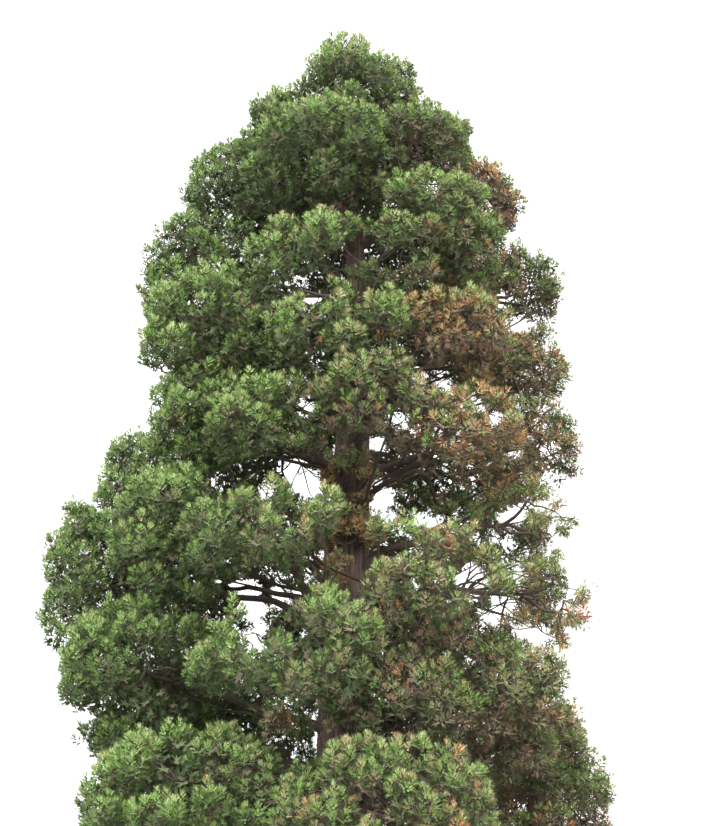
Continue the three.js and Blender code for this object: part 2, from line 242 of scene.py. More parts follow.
def barkMaterial(name, stops, fibreScale):
    # fibrous bark: dark in its furrows, partly its own colour there and partly painted shade, paler and
    # greyer on its ridges, with fine fibres along the limb
    material, shader = newMaterial(name)
    relief = addNode(material, "ShaderNodeAttribute", {"attribute_name": "relief"})
    fibres = objectPattern(material, "ShaderNodeTexNoise", fibreScale, barkFinish["fibreStretch"],
                           Detail=6.0, Roughness=0.7)
    blotches = objectPattern(material, "ShaderNodeTexNoise", barkFinish["blotches"],
                             Detail=5.0, Roughness=0.7)
    # the ridge height picks the colour: the dark furrow end is partly painted shade
    summed = mathOf(material, "ADD", relief.outputs["Fac"], fibres.outputs["Fac"])
    colour = rampBetween(material, mathOf(material, "MULTIPLY", summed, 0.5), stops)
    amount = mathOf(material, "MULTIPLY", blotches.outputs["Fac"], barkFinish["weathering"])
    weathered = addNode(material, "ShaderNodeMix", {"data_type": "RGBA"}, Factor=amount, A=colour,
                        B=toLinear(barkFinish["weathered"]))
    finishShader(material, shader, barkFinish, weathered.outputs["Result"], fibres.outputs["Fac"])
    return material


# Camera, light and floor

cameraPlace = {
    "frame": (720, 826),  # pixels of the picture
    "focal": 1480,  # in those pixels
    "place": (0.0, -33.0, 0.6),
    "tilt": 23.6,  # degrees up
    "turn": -0.54,  # degrees, so that the trunk stands left of the middle
    "sensor": 36.0,
}


def makeCamera():
    data = bpy.data.cameras.new("camera")
    data.sensor_width = cameraPlace["sensor"]
    data.lens = cameraPlace["sensor"] * cameraPlace["focal"] / max(cameraPlace["frame"])
    camera = bpy.data.objects.new("camera", data)
    camera.location = cameraPlace["place"]
    camera.rotation_euler = (math.radians(90 + cameraPlace["tilt"]), 0, math.radians(cameraPlace["turn"]))
    bpy.context.scene.collection.objects.link(camera)
    bpy.context.scene.camera = camera


studio = {
    "sky": (1.0, 1.0, 1.0, 1.0),
    "skyStrength": 1.8,
    "sunStrength": 4.9,
    "sunSpread": 90,  # degrees, a wide soft lamp
    "sunAngles": (34, 0, -28),  # degrees, high and from the front left
    "floorSize": 400.0,
    "floorHeight": -0.002,  # just below the foot of the trunk
    "floorColours": ("7f7e7b", "8d8c88"),
}


def makeStudio():
    scene = bpy.context.scene
    scene.view_settings.view_transform = "Standard"
    world = bpy.data.worlds.new("studio_sky")
    world.use_nodes = True
    background = world.node_tree.nodes["Background"]
    background.inputs["Color"].default_value = studio["sky"]
    background.inputs["Strength"].default_value = studio["skyStrength"]
    scene.world = world

    data = bpy.data.lights.new("soft_sun", "SUN")
    data.energy = studio["sunStrength"]
    data.angle = math.radians(studio["sunSpread"])
    lamp = bpy.data.objects.new("soft_sun", data)
    lamp.rotation_euler = [math.radians(angle) for angle in studio["sunAngles"]]
    scene.collection.objects.link(lamp)

    bm = bmesh.new()
    bmesh.ops.create_grid(bm, x_segments=8, y_segments=8, size=studio["floorSize"])
    floor = addPiece("floor", meshFrom("floor", bm))
    floor.location.z = studio["floorHeight"]
    material, shader = newMaterial("pale_floor")
    patches = objectPattern(material, "ShaderNodeTexNoise", 0.35, Detail=5.0)
    dark, light = studio["floorColours"]
    colour = rampBetween(material, patches.outputs["Fac"], [(0.3, dark), (0.7, light)])
    material.node_tree.links.new(colour, shader.inputs["Base Color"])
    shader.inputs["Roughness"].default_value = 0.9
    floor.data.materials.append(material)


makeCamera()
makeStudio()
print("camera, light and floor made")


# Trunk: a straight taper with a root flare, seven low buttresses, furrowed fibrous bark and a slight sway

trunkForm = {
    "height": 25.6,
    "radius": 0.86,
    "tipRadius": 0.035,
    "flareWidth": 0.36,
    "flareHeight": 0.55,
    "buttresses": 7,
    "buttressDepth": 0.16,
    "swayStart": 10.0,
    "sway": 0.22,
    "rings": 230,
    "ringCrowding": 1.15,  # towards the foot
    "sides": 168,
    "strands": 7.5,  # how close its ridges stand round the trunk
    "strandWander": 0.3,
    "furrows": 2.2,  # how sharply its ridges rise, and how far they are broken up
    "breaks": 0.35,
    "furrowDepth": 0.06,  # at the foot, less as the trunk narrows
    "shagDepth": 0.05,
    "fibres": 9.0,  # in a metre
    # colours from furrow to ridge: the dark end is partly painted shade in the furrows
    "colours": [(0.2, "3b2f2a"), (0.42, "645148"), (0.65, "876f63"), (0.9, "ab968a")],
}


def trunkRadiusAt(z):
    form = trunkForm
    taper = form["radius"] + (form["tipRadius"] - form["radius"]) * (z / form["height"])
    return taper + form["flareWidth"] * np.exp(-z / form["flareHeight"])


def trunkAxisAt(z):
    along = max(0.0, (z - trunkForm["swayStart"]) / (trunkForm["height"] - trunkForm["swayStart"]))
    return np.array([trunkForm["sway"] * math.sin(math.pi * min(along, 1.0)) ** 2, 0.0, z])


def barkHeight(angle, z):
    # 0 in a furrow and 1 on a ridge: long strands that wander, part and run together again
    east, north = math.cos(angle), math.sin(angle)
    wander = noise.noise(Vector((east * 1.4, north * 1.4, z * 0.6)))
    wander += 0.5 * noise.noise(Vector((east * 3.3, north * 3.3, z * 1.7)))
    turned = angle + trunkForm["strandWander"] * wander
    around = trunkForm["strands"]
    across = Vector((math.cos(turned) * around, math.sin(turned) * around, z * 0.8))
    strand = noise.noise(across) + 0.6 * noise.noise(across * 2.3)
    broken = noise.noise(Vector((east * 4, north * 4, z * 2.6)))
    return min(1.0, max(0.0, 1 - trunkForm["furrows"] * abs(strand) + trunkForm["breaks"] * broken))


def makeTrunk():
    form = trunkForm
    bm = bmesh.new()
    share = np.linspace(0, 1, form["rings"]) ** form["ringCrowding"]
    profile = [bm.verts.new((0, 0, 0))]
    for z in share * form["height"]:
        profile.append(bm.verts.new((0, -float(trunkRadiusAt(z)), z)))
    profile.append(bm.verts.new((0, 0, form["height"])))
    edges = [bm.edges.new(pair) for pair in zip(profile, profile[1:])]
    bmesh.ops.spin(bm, geom=profile + edges, cent=(0, 0, 0), axis=(0, 0, 1), angle=2 * math.pi,
                   steps=form["sides"], use_merge=True)
    bmesh.ops.remove_doubles(bm, verts=bm.verts, dist=0.0002)
    relief = bm.verts.layers.float.new("relief")
    for vert in bm.verts:
        x, y, z = vert.co
        radius = math.hypot(x, y)
        if radius < 0.001:
            continue
        angle = math.atan2(x, -y)
        slim = float(trunkRadiusAt(z)) / form["radius"]
        ridge = barkHeight(angle, z)
        shag = noise.noise(Vector((x * 5, y * 5, z * 1.1)))
        lobe = math.cos(form["buttresses"] * angle)
        swell = 1 + form["buttressDepth"] * math.exp(-z / form["flareHeight"]) * lobe
        rough = min(slim, 1.0) * (form["furrowDepth"] * (ridge - 0.5) + form["shagDepth"] * shag)
        grown = radius * swell + rough
        vert.co.x = x / radius * grown + float(trunkAxisAt(z)[0])
        vert.co.y = y / radius * grown
        # the ridge height, which also darkens the bark's colour in its furrows, partly as painted shade
        vert[relief] = ridge
    bmesh.ops.recalc_face_normals(bm, faces=bm.faces)
    mesh = meshFrom("trunk_bark_relief", bm)
    mesh.shade_smooth()
    material = barkMaterial("trunk_bark", form["colours"], form["fibres"])
    finishPiece(addPiece("trunk_bark_relief", mesh), material, ["trunk"])


makeTrunk()
print("trunk made")


# The masses of the crown. Each row gives a name, the bearing round the trunk in degrees (0 to the front, +
# to the right), the distance out, height, half width and half height of its space before it closes up, the
# height at which its limb leaves the trunk and how far that limb lifts on its way out (all in metres), how
# many main twigs it has, and its tint. The masses whose tint is open are loose, with sky between sprays.

massRows = [
    ("crown_tip", 0, 0, 25.1, 0.86, 1.1, 25.6, 0, 4, "green"),
    ("top_right", 88, 1.15, 24.2, 0.98, 1.15, 23.7, 0.1, 3, "green"),
    ("top_left", -92, 1.75, 22.95, 1.35, 1.35, 22.5, 0.2, 3, "green"),
    ("top_front", 0, 1.35, 23.3, 1.43, 1.38, 22.2, 0.2, 3, "green"),
    ("top_back", 180, 1.33, 23.6, 1.56, 1.56, 22.4, 0.2, 3, "green"),
    ("right_shoulder", 84, 2.05, 22.35, 1.4, 1.4, 21.5, 0.2, 3, "green"),
    ("left_shoulder", -88, 2.98, 20.92, 1.6, 1.5, 20.1, 0.3, 4, "green"),
    ("front_upper", -17, 2.54, 20.6, 2.08, 1.44, 19.3, 0.3, 4, "green"),
    ("front_right_upper", 38, 2.66, 21.1, 1.37, 1.25, 20.1, 0.2, 3, "dark"),
    ("right_upper", 80, 3.25, 20.4, 1.25, 1.4, 19.6, 0.2, 3, "brown"),
    ("back_left_upper", -138, 2.48, 21.5, 1.82, 1.69, 20.3, 0.2, 3, "green"),
    ("back_right_upper", 132, 2.48, 21.3, 1.82, 1.69, 20.5, 0.2, 3, "green"),
    ("back_upper", 178, 2.79, 19.6, 1.82, 1.62, 18.7, 0.3, 3, "green"),
    ("left_high", -84, 4.02, 18.55, 1.5, 1.75, 17.5, 0.5, 4, "green"),
    ("right_high", 29, 3.93, 17.9, 1.56, 1.75, 17.9, 1, 4, "green"),
    ("right_edge_high", 90, 4.12, 18.2, 1.2, 1.35, 17.2, 0.6, 3, "mixed"),
    ("front_high", -14, 4.1, 17.1, 1.45, 1, 16.3, 0.9, 3, "green"),
    ("back_left_high", -128, 3.65, 18.3, 2.02, 1.94, 17, 0.4, 3, "green"),
    ("back_right_high", 126, 3.65, 18.1, 2.02, 1.94, 16.9, 0.4, 3, "green"),
    ("back_high", 180, 3.65, 16.6, 2.02, 1.81, 15.6, 0.4, 3, "green"),
    ("front_mid", -4, 3.96, 15.1, 1.69, 1.12, 14.6, 0.5, 3, "green"),
    ("left_mid", -55, 4.02, 15.8, 2, 1.6, 15, 0.7, 4, "green"),
    ("right_brown", 35, 4.2, 15.4, 1.43, 1.12, 15, 0.7, 3, "brown"),
    ("right_mid", 82, 3.95, 15.75, 1.4, 1.4, 15.6, 0.6, 3, "mixed"),
    ("front_heart", 6, 4.26, 13.5, 1.37, 1, 13.4, 0.4, 3, "mixed"),
    ("left_heart", -55, 4.1, 13.8, 1.45, 1.38, 12.5, 1.7, 3, "green"),
    ("front_left_heart", -25, 4.26, 13.1, 1.37, 1, 12.9, 0.5, 3, "green"),
    ("right_dark", 84, 4.22, 13.95, 1.4, 1.3, 13.4, 0.4, 3, "dark"),
    ("right_rust", 34, 4.35, 12.9, 1.43, 1.12, 12.3, 0.4, 3, "brown"),
    ("left_edge_mid", -90, 5.05, 12.95, 1.15, 1.4, 11.8, 0.6, 3, "green"),
    ("back_left_mid", -140, 4.04, 14.9, 2.08, 1.94, 13.7, 0.4, 3, "green"),
    ("back_right_mid", 138, 4.04, 14.7, 2.08, 1.94, 13.9, 0.4, 3, "green"),
    ("left_edge_low", -90, 5.8, 10.7, 1.35, 2.35, 9.5, 1, 4, "green"),
    ("left_low", -57, 4.42, 10.9, 1.62, 1.75, 8.7, 1.6, 4, "green"),
    ("front_low_left", -20, 4.38, 10.4, 1.82, 1.12, 10.1, 0.5, 4, "green"),
    ("trunk_clump", 2, 1.05, 11.9, 0.76, 1.7, 11.6, 0.1, 2, "clump"),
    ("right_open", 62, 4.62, 11.45, 1.35, 1.15, 10.9, 0.7, 4, "open"),
    ("right_arching", 62, 4.95, 9.75, 1.2, 1, 9.5, 0.9, 4, "open"),
    ("front_low_right", 21, 4.38, 9.3, 1.82, 1.56, 8.3, 0.6, 4, "mixed"),
    ("front_foot_right", 17, 4.2, 7, 1.45, 1.2, 6.1, 0.3, 3, "dark"),
    ("right_foot", 49, 4.38, 7.2, 1.57, 1.45, 6.6, 0.4, 3, "dark"),
    ("right_edge_foot", 82, 4.6, 5.3, 1.4, 2.05, 4.9, 0.4, 4, "dark"),
    ("front_foot_left", -11, 4.44, 7.8, 2.1, 1.44, 7.3, 0.5, 4, "green"),
    ("left_foot", -66, 5, 8, 1.65, 1.85, 7.1, 0.6, 3, "green"),
    ("back_left_low", -124, 4.62, 11.3, 2.15, 2.19, 10.3, 0.5, 3, "green"),
    ("back_right_low", 112, 3.75, 10.9, 2, 2.25, 9.8, 0.5, 3, "green"),
    ("back_low", 180, 4.54, 11.3, 2.2, 2.2, 10.8, 0.5, 3, "green"),
    ("front_skirt_left", -42, 4.75, 5, 2.1, 1.62, 4.9, 0.3, 3, "green"),
    ("front_skirt_right", 10, 4.64, 4.6, 2.1, 1.62, 5.4, 0.3, 3, "mixed"),
    ("back_left_foot", -130, 4.55, 7.2, 2.55, 2.4, 6.4, 0.4, 3, "green"),
    ("back_right_foot", 132, 4.5, 7, 2.55, 2.4, 5.9, 0.4, 3, "green"),
]

# The masses that a main bough carries
boughMasses = ["front_high", "right_high", "right_mid", "left_mid", "left_low", "right_open",
               "right_arching"]
boughFor = {name: "bough_" + name for name in boughMasses}
boughFor["left_heart"] = "bough_left_big"

limbForm = {
    "boughRadii": (0.125, 0.062, 0.045),  # at the trunk, where it enters its mass, and at its heart
    "openRadii": (0.11, 0.045, 0.028),  # the same for the open masses, whose limbs are slimmer
    "stemRadii": (0.085, 0.045),
    "boughSides": 14,
    "stemSides": 9,
    "stepLength": 0.09,
    "windings": 1.1,  # how close a limb's bends follow each other, and how far they reach
    "winding": 0.15,
    "knots": 0.2,  # how uneven a limb is, as a share of its radius
    "strandDepth": 0.14,
    "fibres": 24.0,  # in a metre
    "collar": 0.5,  # how much its root swells, and over what length
    "collarLength": 0.25,
    "fade": 0.6,  # from its ends to where it winds fully, in metres
    "bendShare": 0.42,  # where a limb bends on its way out, and how low in its mass's half height
    "bendLow": 0.4,
    "entryShare": 0.96,  # where it meets its mass's space, and where its stem forks, as shares of
    "heartShare": 0.3,  # the depth of that space from its middle
    "leaderStem": 0.2,
    "spaceGap": 0.012,
    "spaceWiden": 1.2,  # how much wider, towards the trunk, and taller a mass's space is than its row
    "spaceHeighten": 1.16,
    # colours from groove to strand: the dark end is partly painted shade in the grooves
    "colours": [(0.25, "241d19"), (0.5, "453930"), (0.75, "665545")],
}

# Twigs and side limbs: shares of a mass's space where nothing else is told, and radii in metres
twigForm = {
    "coreDraws": 23,  # the draws that a dense mass's core takes before its twigs
    "forkShare": 0.4,
    "sideTwigs": 3,
    "sideFan": 0.72,
    "unevenFan": (0.85, 0.3),  # the least share of that fan, and how much more by chance
    "rootShare": 0.46,
    "bareSide": 0.35,  # a twig that faces the trunk more than this is skipped
    "mainRadii": (0.045, 0.03),
    "mainSag": 0.08,
    "sideRadii": (0.03, 0.02),
    "sideSag": 0.06,
    "lobeRadii": (0.019, 0.009),
    "lobeSag": 0.12,
    "spurRadius": 0.011,
    "spurReach": 0.3,  # past a puff's middle, in puff radii
    "spurSky": 0.24,  # on puffs that see more of the sky than this
    "swing": 0.065,  # how far a twig winds, as a share of its length
    "relief": 0.45,  # what a twig has of the bark's relief, between 0 in a furrow and 1 on a ridge
    "sideLimbs": 3,  # from the outer half of each limb, more from a main bough
    "boughSideLimbs": 7,
    "sideLimbRadii": (0.028, 0.011),
    "sideLimbFrom": (0.35, 0.75),  # of the limb's length
    "sideLimbSwing": 1.5,  # next to a twig's
    "sideLimbWaves": 1.25,  # on its way
    "trunkLimbs": 2,  # that leave the trunk by themselves for a dense mass's lobes
    "windowShare": 0.1,  # with more of its way than this before the open sky such a limb is left out
    "lowestEnd": -0.15,  # limbs end above this share of their mass's half height, from its middle
    "trunkLimbRadii": (0.055, 0.013),
    "trunkLimbDrop": 0.5,  # how far below its end it may leave the trunk, as a share of its way out
}


def planMass(index, row):
    name, bearing, out, height, halfWidth, halfHeight, limbHeight, lift, forks, tint = row
    angle = math.radians(bearing)
    outward = np.array([math.sin(angle), -math.cos(angle), 0.0])
    away = max(0.0, out - (limbForm["spaceWiden"] - 1) * halfWidth)
    centre = trunkAxisAt(height) + away * outward
    wide, tall = limbForm["spaceWiden"] * halfWidth, limbForm["spaceHeighten"] * halfHeight
    reach = np.array([wide, wide, tall])
    root = trunkAxisAt(limbHeight)
    bend = root + (centre - root) * limbForm["bendShare"]
    bend[2] = max(root[2], centre[2] - limbForm["bendLow"] * reach[2]) + lift
    arrival = unit(centre - bend)
    depth = 1 / np.linalg.norm(arrival / reach)
    seed = 7919 * (index + 1)  # the same as the model's own
    mass = {
        "name": name, "index": index, "node": "foliage_" + name, "centre": centre, "reach": reach,
        "forks": forks, "open": tint == "open", "tint": tint, "bough": boughFor.get(name),
        "inward": -outward * (1 if out > 0 else 0),
        "heart": centre - arrival * limbForm["heartShare"] * depth,
        "entry": centre - arrival * limbForm["entryShare"] * depth,
        "root": root, "bend": bend, "walls": [],
        "draw": seededDraws(seed), "rng": np.random.default_rng(seed),
    }
    if out == 0:
        mass["heart"] = np.array([0.0, 0.0, trunkForm["height"] + limbForm["leaderStem"]])
        mass["bend"] = (root + mass["heart"]) / 2
    return mass


def partSpaces(masses):
    # the planes that part two masses where their spaces would meet, each as a direction and a limit
    for mass in masses:
        for other in masses:
            if other is mass:
                continue
            way = other["centre"] - mass["centre"]
            distance = np.linalg.norm(way)
            direction = way / distance
            mine = np.linalg.norm(direction * mass["reach"])
            theirs = np.linalg.norm(direction * other["reach"])
            if mine + theirs + limbForm["spaceGap"] > distance:
                limit = distance * mine / (mine + theirs) - limbForm["spaceGap"] / 2
                mass["walls"].append((direction, limit))


masses = [planMass(index, row) for index, row in enumerate(massRows)]
partSpaces(masses)


def isInside(mass, points, room=0.0):
    # which points keep to a mass's own space
    offsets = points - mass["centre"]
    inside = np.linalg.norm(offsets / (mass["reach"] - room), axis=-1) <= 1
    for direction, limit in mass["walls"]:
        inside &= offsets @ direction < limit - room
    return inside


# Limbs: the main boughs and the stems of the other masses, tapered, knotty, and sunk into the trunk

def limbPath(mass):
    # evenly spaced points along a limb, from the trunk to its mass's heart
    t = np.linspace(0, 1, 80)[:, None]
    end = mass["entry"] if mass["bough"] else mass["heart"]
    curve = (1 - t) ** 2 * mass["root"] + 2 * t * (1 - t) * mass["bend"] + t ** 2 * end
    if mass["bough"]:
        curve = np.vstack([curve, end + (mass["heart"] - end) * np.linspace(0.1, 1, 10)[:, None]])
    path = evenPath(curve, limbForm["stepLength"])
    places = np.arange(len(path)) * limbForm["stepLength"]
    fade = np.minimum(1, np.minimum(places, places[-1] - places) / limbForm["fade"])
    bends = [[noise.noise(Vector((place * limbForm["windings"], 7.3 * mass["index"], height)))
              for height in (0.5, 31.5, 62.5)] for place in places]
    return path + limbForm["winding"] * fade[:, None] * np.array(bends)


def evenPath(points, step):
    lengths = np.concatenate([[0], np.cumsum(np.linalg.norm(np.diff(points, axis=0), axis=1))])
    places = np.linspace(0, lengths[-1], max(4, int(lengths[-1] / step) + 1))
    return np.stack([np.interp(places, lengths, points[:, i]) for i in range(3)], axis=1)


def pathFrames(path):
    # the direction along a path at each point, and two directions across it that don't twist
    along = unit(np.gradient(path, axis=0))
    sideways = np.zeros_like(path)
    last = acrossFrom(along[0])
    for i in range(len(path)):
        last = unit(last - along[i] * (last @ along[i]))
        sideways[i] = last
    return along, sideways, np.cross(along, sideways)


def limbMesh(name, path, radii, sides, seed):
    # a tapered limb: a cylinder cut into rings, then laid along its path with its knots and strands
    bm = bmesh.new()
    relief = bm.verts.layers.float.new("relief")
    bmesh.ops.create_cone(bm, cap_ends=True, segments=sides, radius1=1, radius2=1, depth=1)
    lengthwise = [edge for edge in bm.edges if abs(edge.verts[0].co.z - edge.verts[1].co.z) > 0.5]
    bmesh.ops.subdivide_edges(bm, edges=lengthwise, cuts=len(path) - 2)
    along, sideways, over = pathFrames(path)
    for vert in bm.verts:
        step = round((vert.co.z + 0.5) * (len(path) - 1))
        angle = math.atan2(vert.co.y, vert.co.x)
        swell = noise.noise(Vector((math.cos(angle) * 1.2, math.sin(angle) * 1.2, step * 0.23 + seed)))
        strand = abs(math.sin(angle * 2.5 + 2 * swell + step * 0.02))
        radius = radii[step] * (1 + limbForm["knots"] * swell + limbForm["strandDepth"] * (strand - 0.5))
        vert.co = path[step] + radius * (math.cos(angle) * sideways[step] + math.sin(angle) * over[step])
        # the strands' height sets the bark's colour: darker in the grooves between them, partly as painted
        # shade
        vert[relief] = 0.3 + 0.5 * strand + 0.3 * swell
    bmesh.ops.recalc_face_normals(bm, faces=bm.faces)
    mesh = meshFrom(name, bm)
    mesh.shade_smooth()
    return mesh


def boughRadiiAlong(mass, path):
    share = np.linspace(0, 1, len(path))
    if not mass["bough"]:
        return np.interp(share, [0, 1], limbForm["stemRadii"])
    entered = np.linalg.norm(mass["heart"] - mass["entry"]) / (len(path) * limbForm["stepLength"])
    radii = limbForm["openRadii" if mass["open"] else "boughRadii"]
    return np.interp(share, [0, 1 - entered, 1], radii)


def makeLimbs():
    material = barkMaterial("bough_bark", limbForm["colours"], limbForm["fibres"])
    stems = bmesh.new()
    for mass in masses:
        path = mass["limb"] = limbPath(mass)
        # the root swells into the trunk
        fromTrunk = np.linalg.norm(path[:, :2] - path[0, :2], axis=1) - trunkRadiusAt(path[0, 2])
        swell = limbForm["collar"] * np.exp(-np.maximum(0, fromTrunk) / limbForm["collarLength"])
        radii = boughRadiiAlong(mass, path) * (1 + swell)
        if mass["bough"]:
            mesh = limbMesh(mass["bough"] + "_bark", path, radii, limbForm["boughSides"], mass["index"])
            finishPiece(addPiece(mesh.name, mesh), material, [mass["bough"]])
        else:
            mesh = limbMesh("stem", path, radii, limbForm["stemSides"], mass["index"])
            stems.from_mesh(mesh)
            bpy.data.meshes.remove(mesh)
    nodes = [mass["node"] for mass in masses if not mass["bough"]]
    finishPiece(addPiece("stems_bark", meshFrom("stems_bark", stems)), material, nodes)
    return material


boughBark = makeLimbs()
print("boughs and stems made")


# Twigs by the source's rule, then lobes of foliage dealt over each space, each on a twig of its own

lobeForm = {
    "perSquareMetre": 1.5,  # of a dense mass's outside
    "radius": (0.32, 0.62),
    "openCount": 34,
    "openRadius": (0.18, 0.34),
    "clumpCount": 110,  # on the trunk's own clump
    "clumpRadius": (0.17, 0.3),
    "clumpSpacing": 0.3,
    "power": 1.6,  # for the area of a space that is wider than tall
    "depth": (0.93, 1.0),  # where a lobe's outside stands, as a share of the space's reach
    "openDepth": (0.72, 1.0),
    "leastDepth": 0.1,
    "windowRoom": -0.1,  # past the rim of a window, in metres
    "trunkRoom": 0.5,  # from the bark, as a share of a lobe's radius
    "bareSide": 0.62,  # a lobe that faces the trunk more than this is left out
    "jitter": 0.2,
    "spacing": 0.46,  # least distance of two lobes, as a share of their two radii
    "wallRoom": 0.5,  # how much of its radius a lobe keeps from the space's walls
    "underSide": -0.3,  # below this a mass is thinner
    "underThinning": 0.45,
}

# Places where the sky shows through the crown: x and z in the plane of the trunk, half width and half height
skyWindows = {
    "beside_big_limb": (-1.0, 13.1, 0.42, 0.4),
    "over_big_limb": (-1.3, 13.55, 0.3, 0.3),
    "left_of_big_limb": (-1.85, 13.0, 0.18, 0.16),
    "under_big_limb": (-1.4, 12.3, 0.15, 0.15),
    "low_limb_left": (-2.15, 10.2, 0.3, 0.4),
    "low_limb_middle": (-1.55, 10.25, 0.2, 0.36),
    "low_limb_right": (-0.95, 10.5, 0.14, 0.2),
    "low_limb_under": (-2.1, 9.3, 0.25, 0.27),
    "low_limb_far": (-2.65, 10.6, 0.12, 0.16),
    "left_of_trunk": (-0.7, 11.05, 0.22, 0.23),
    "right_of_trunk": (2.0, 12.25, 0.3, 0.2),
    "right_of_trunk_near": (0.83, 12.8, 0.26, 0.42),
    "right_of_trunk_high": (0.75, 14.1, 0.25, 0.2),
    "right_heart": (1.15, 14.85, 0.33, 0.18),
    "open_left": (2.95, 10.8, 0.42, 0.34),
    "open_middle": (3.6, 10.1, 0.34, 0.42),
    "open_right": (4.35, 9.5, 0.42, 0.3),
    "open_top": (3.9, 12.4, 0.38, 0.3),
    "open_edge": (5.62, 12.75, 0.36, 0.3),
    "open_between": (3.9, 10.9, 0.2, 0.16),
    "edge_high": (4.3, 17.45, 0.4, 0.28),
    "edge_inner": (3.95, 18.1, 0.2, 0.24),
    "upper_right_inner": (3.45, 20.9, 0.15, 0.14),
    "upper_right_low": (2.2, 21.4, 0.14, 0.16),
    "right_mid_inner": (2.4, 15.7, 0.2, 0.2),
    "right_mid_upper": (3.25, 15.2, 0.2, 0.18),
    "right_mid_middle": (3.55, 14.8, 0.24, 0.3),
    "right_mid_lower": (4.0, 14.0, 0.26, 0.17),
    "right_mid_edge": (4.8, 14.1, 0.2, 0.2),
    "right_centre": (1.85, 16.2, 0.18, 0.14),
    "left_centre": (-1.0, 15.2, 0.12, 0.2),
    "centre_high": (-0.87, 18.05, 0.17, 0.17),
    "left_high_low": (-3.8, 17.95, 0.18, 0.12),
    "left_high_top": (-3.35, 18.95, 0.13, 0.12),
    "upper_middle": (1.0, 19.9, 0.1, 0.1),
}

# Parts of the crown that small gaps are scattered through: the same four sizes, and how few the gaps are
sieves = {
    "right_side": (3.3, 12.3, 2.3, 3.6, 0.54),
    "right_low": (4.2, 10.6, 1.5, 1.3, 0.36),
    "trunk_sides": (0.0, 12.6, 1.9, 2.4, 0.66),
    "left_low": (-2.1, 10.7, 1.7, 1.7, 0.62),
    "upper_left": (-2.4, 19.3, 1.9, 1.4, 0.8),
}

# Places where the trunk and limbs show: the same four sizes, and how far back the foliage is left out
limbWindows = {
    "trunk_upper": (0.05, 13.6, 0.5, 0.75, -0.5),
    "trunk_lower": (0.1, 11.4, 0.5, 1.0, -0.5),
    "trunk_high": (0.2, 19.45, 0.7, 0.4, -0.4),
    "bundle_high": (-0.75, 18.3, 0.4, 0.45, -0.6),
    "big_limb": (-1.5, 13.6, 0.75, 0.45, -0.5),
    "big_limb_fan": (-2.6, 13.2, 0.75, 0.42, -1.2),
    "low_limb": (-1.9, 9.75, 0.85, 0.3, -0.6),
    "low_limb_fan": (-1.7, 10.6, 0.6, 0.5, -0.6),
    "right_limb": (1.1, 13.2, 0.6, 0.6, -0.5),
    "right_limb_low": (1.1, 11.6, 0.55, 0.35, -0.5),
    "right_limb_high": (1.1, 19.3, 0.55, 0.3, -0.8),
    "right_mid_limb": (2.3, 15.9, 0.45, 0.35, -1.0),
}

# Places where the bark shows between the tufts of the trunk's own clump
barkWindows = {
    "bark_high": (0.0, 13.2, 0.5, 0.22),
    "bark_right": (0.45, 11.05, 0.26, 0.6),
    "bark_low": (0.1, 10.15, 0.5, 0.25),
}


def sightPlace(points):
    # where the line of sight from the camera's place to each point passes the plane of the trunk
    eye = np.array(cameraPlace["place"])
    share = -eye[1] / (points[..., 1] - eye[1])
    return eye[0] + (points[..., 0] - eye[0]) * share, eye[2] + (points[..., 2] - eye[2]) * share


def inWindow(points, windows, room=0.0):
    # which points are seen through one of those places, whose rims wander
    x, z = sightPlace(points)
    wander = 0.3 * np.sin(5.1 * x + 1.3 * np.sin(4.3 * z)) + 0.3 * np.sin(6.7 * z + 1.7 * np.sin(3.9 * x))
    found = np.zeros(points.shape[:-1], bool)
    for middleX, middleZ, halfWidth, halfHeight, *depth in windows.values():
        across = ((x - middleX) / (halfWidth + room)) ** 2 + ((z - middleZ) / (halfHeight + room)) ** 2
        within = across < 1 + wander
        if depth:
            within &= points[..., 1] < depth[0]
        found |= within
    return found


def inSieve(points):
    x, z = sightPlace(points)
    ripple = np.sin(6.1 * x + 2.3 * np.sin(3.3 * z + 0.7)) * np.sin(6.7 * z + 2.1 * np.sin(3.7 * x))
    ripple = 0.75 * ripple + 0.25 * np.sin(11.3 * x + 7.9 * z)
    found = np.zeros(points.shape[:-1], bool)
    for middleX, middleZ, halfWidth, halfHeight, least in sieves.values():
        across = ((x - middleX) / halfWidth) ** 2 + ((z - middleZ) / halfHeight) ** 2
        found |= (across < 1) & (ripple > least)
    return found


def isCleared(points, mass, room=0.0):
    cleared = inWindow(points, skyWindows, room) | inSieve(points)
    bare = barkWindows if mass["tint"] == "clump" else limbWindows
    return cleared | inWindow(points, bare, room)


twigBatches = []  # each batch: paths (n, k, 3), radii (n, k) and sides


def addTwigs(paths, radii, sides):
    twigBatches.append((np.array(paths, float), np.array(radii, float), sides))


twigRng = np.random.default_rng(11)


def bentPaths(starts, ends, sag, steps):
    # winding ways from starts to ends that leave them a little below the straight line
    t = np.linspace(0, 1, steps)[None, :, None]
    starts, ends = starts[:, None, :], ends[:, None, :]
    length = np.linalg.norm(ends - starts, axis=-1, keepdims=True)
    swing = twigForm["swing"] * twigRng.normal(size=(len(starts), 2, 3))
    aside = swing[:, :1] * np.sin(math.pi * t) + swing[:, 1:] * np.sin(2 * math.pi * t)
    return starts + (ends - starts) * t + length * (aside - upward * sag * 4 * t * (1 - t))


def addTapered(starts, ends, sag, radii, steps, sides):
    widths = np.repeat(np.linspace(*radii, steps)[None], len(starts), axis=0)
    addTwigs(bentPaths(starts, ends, sag, steps), widths, sides)


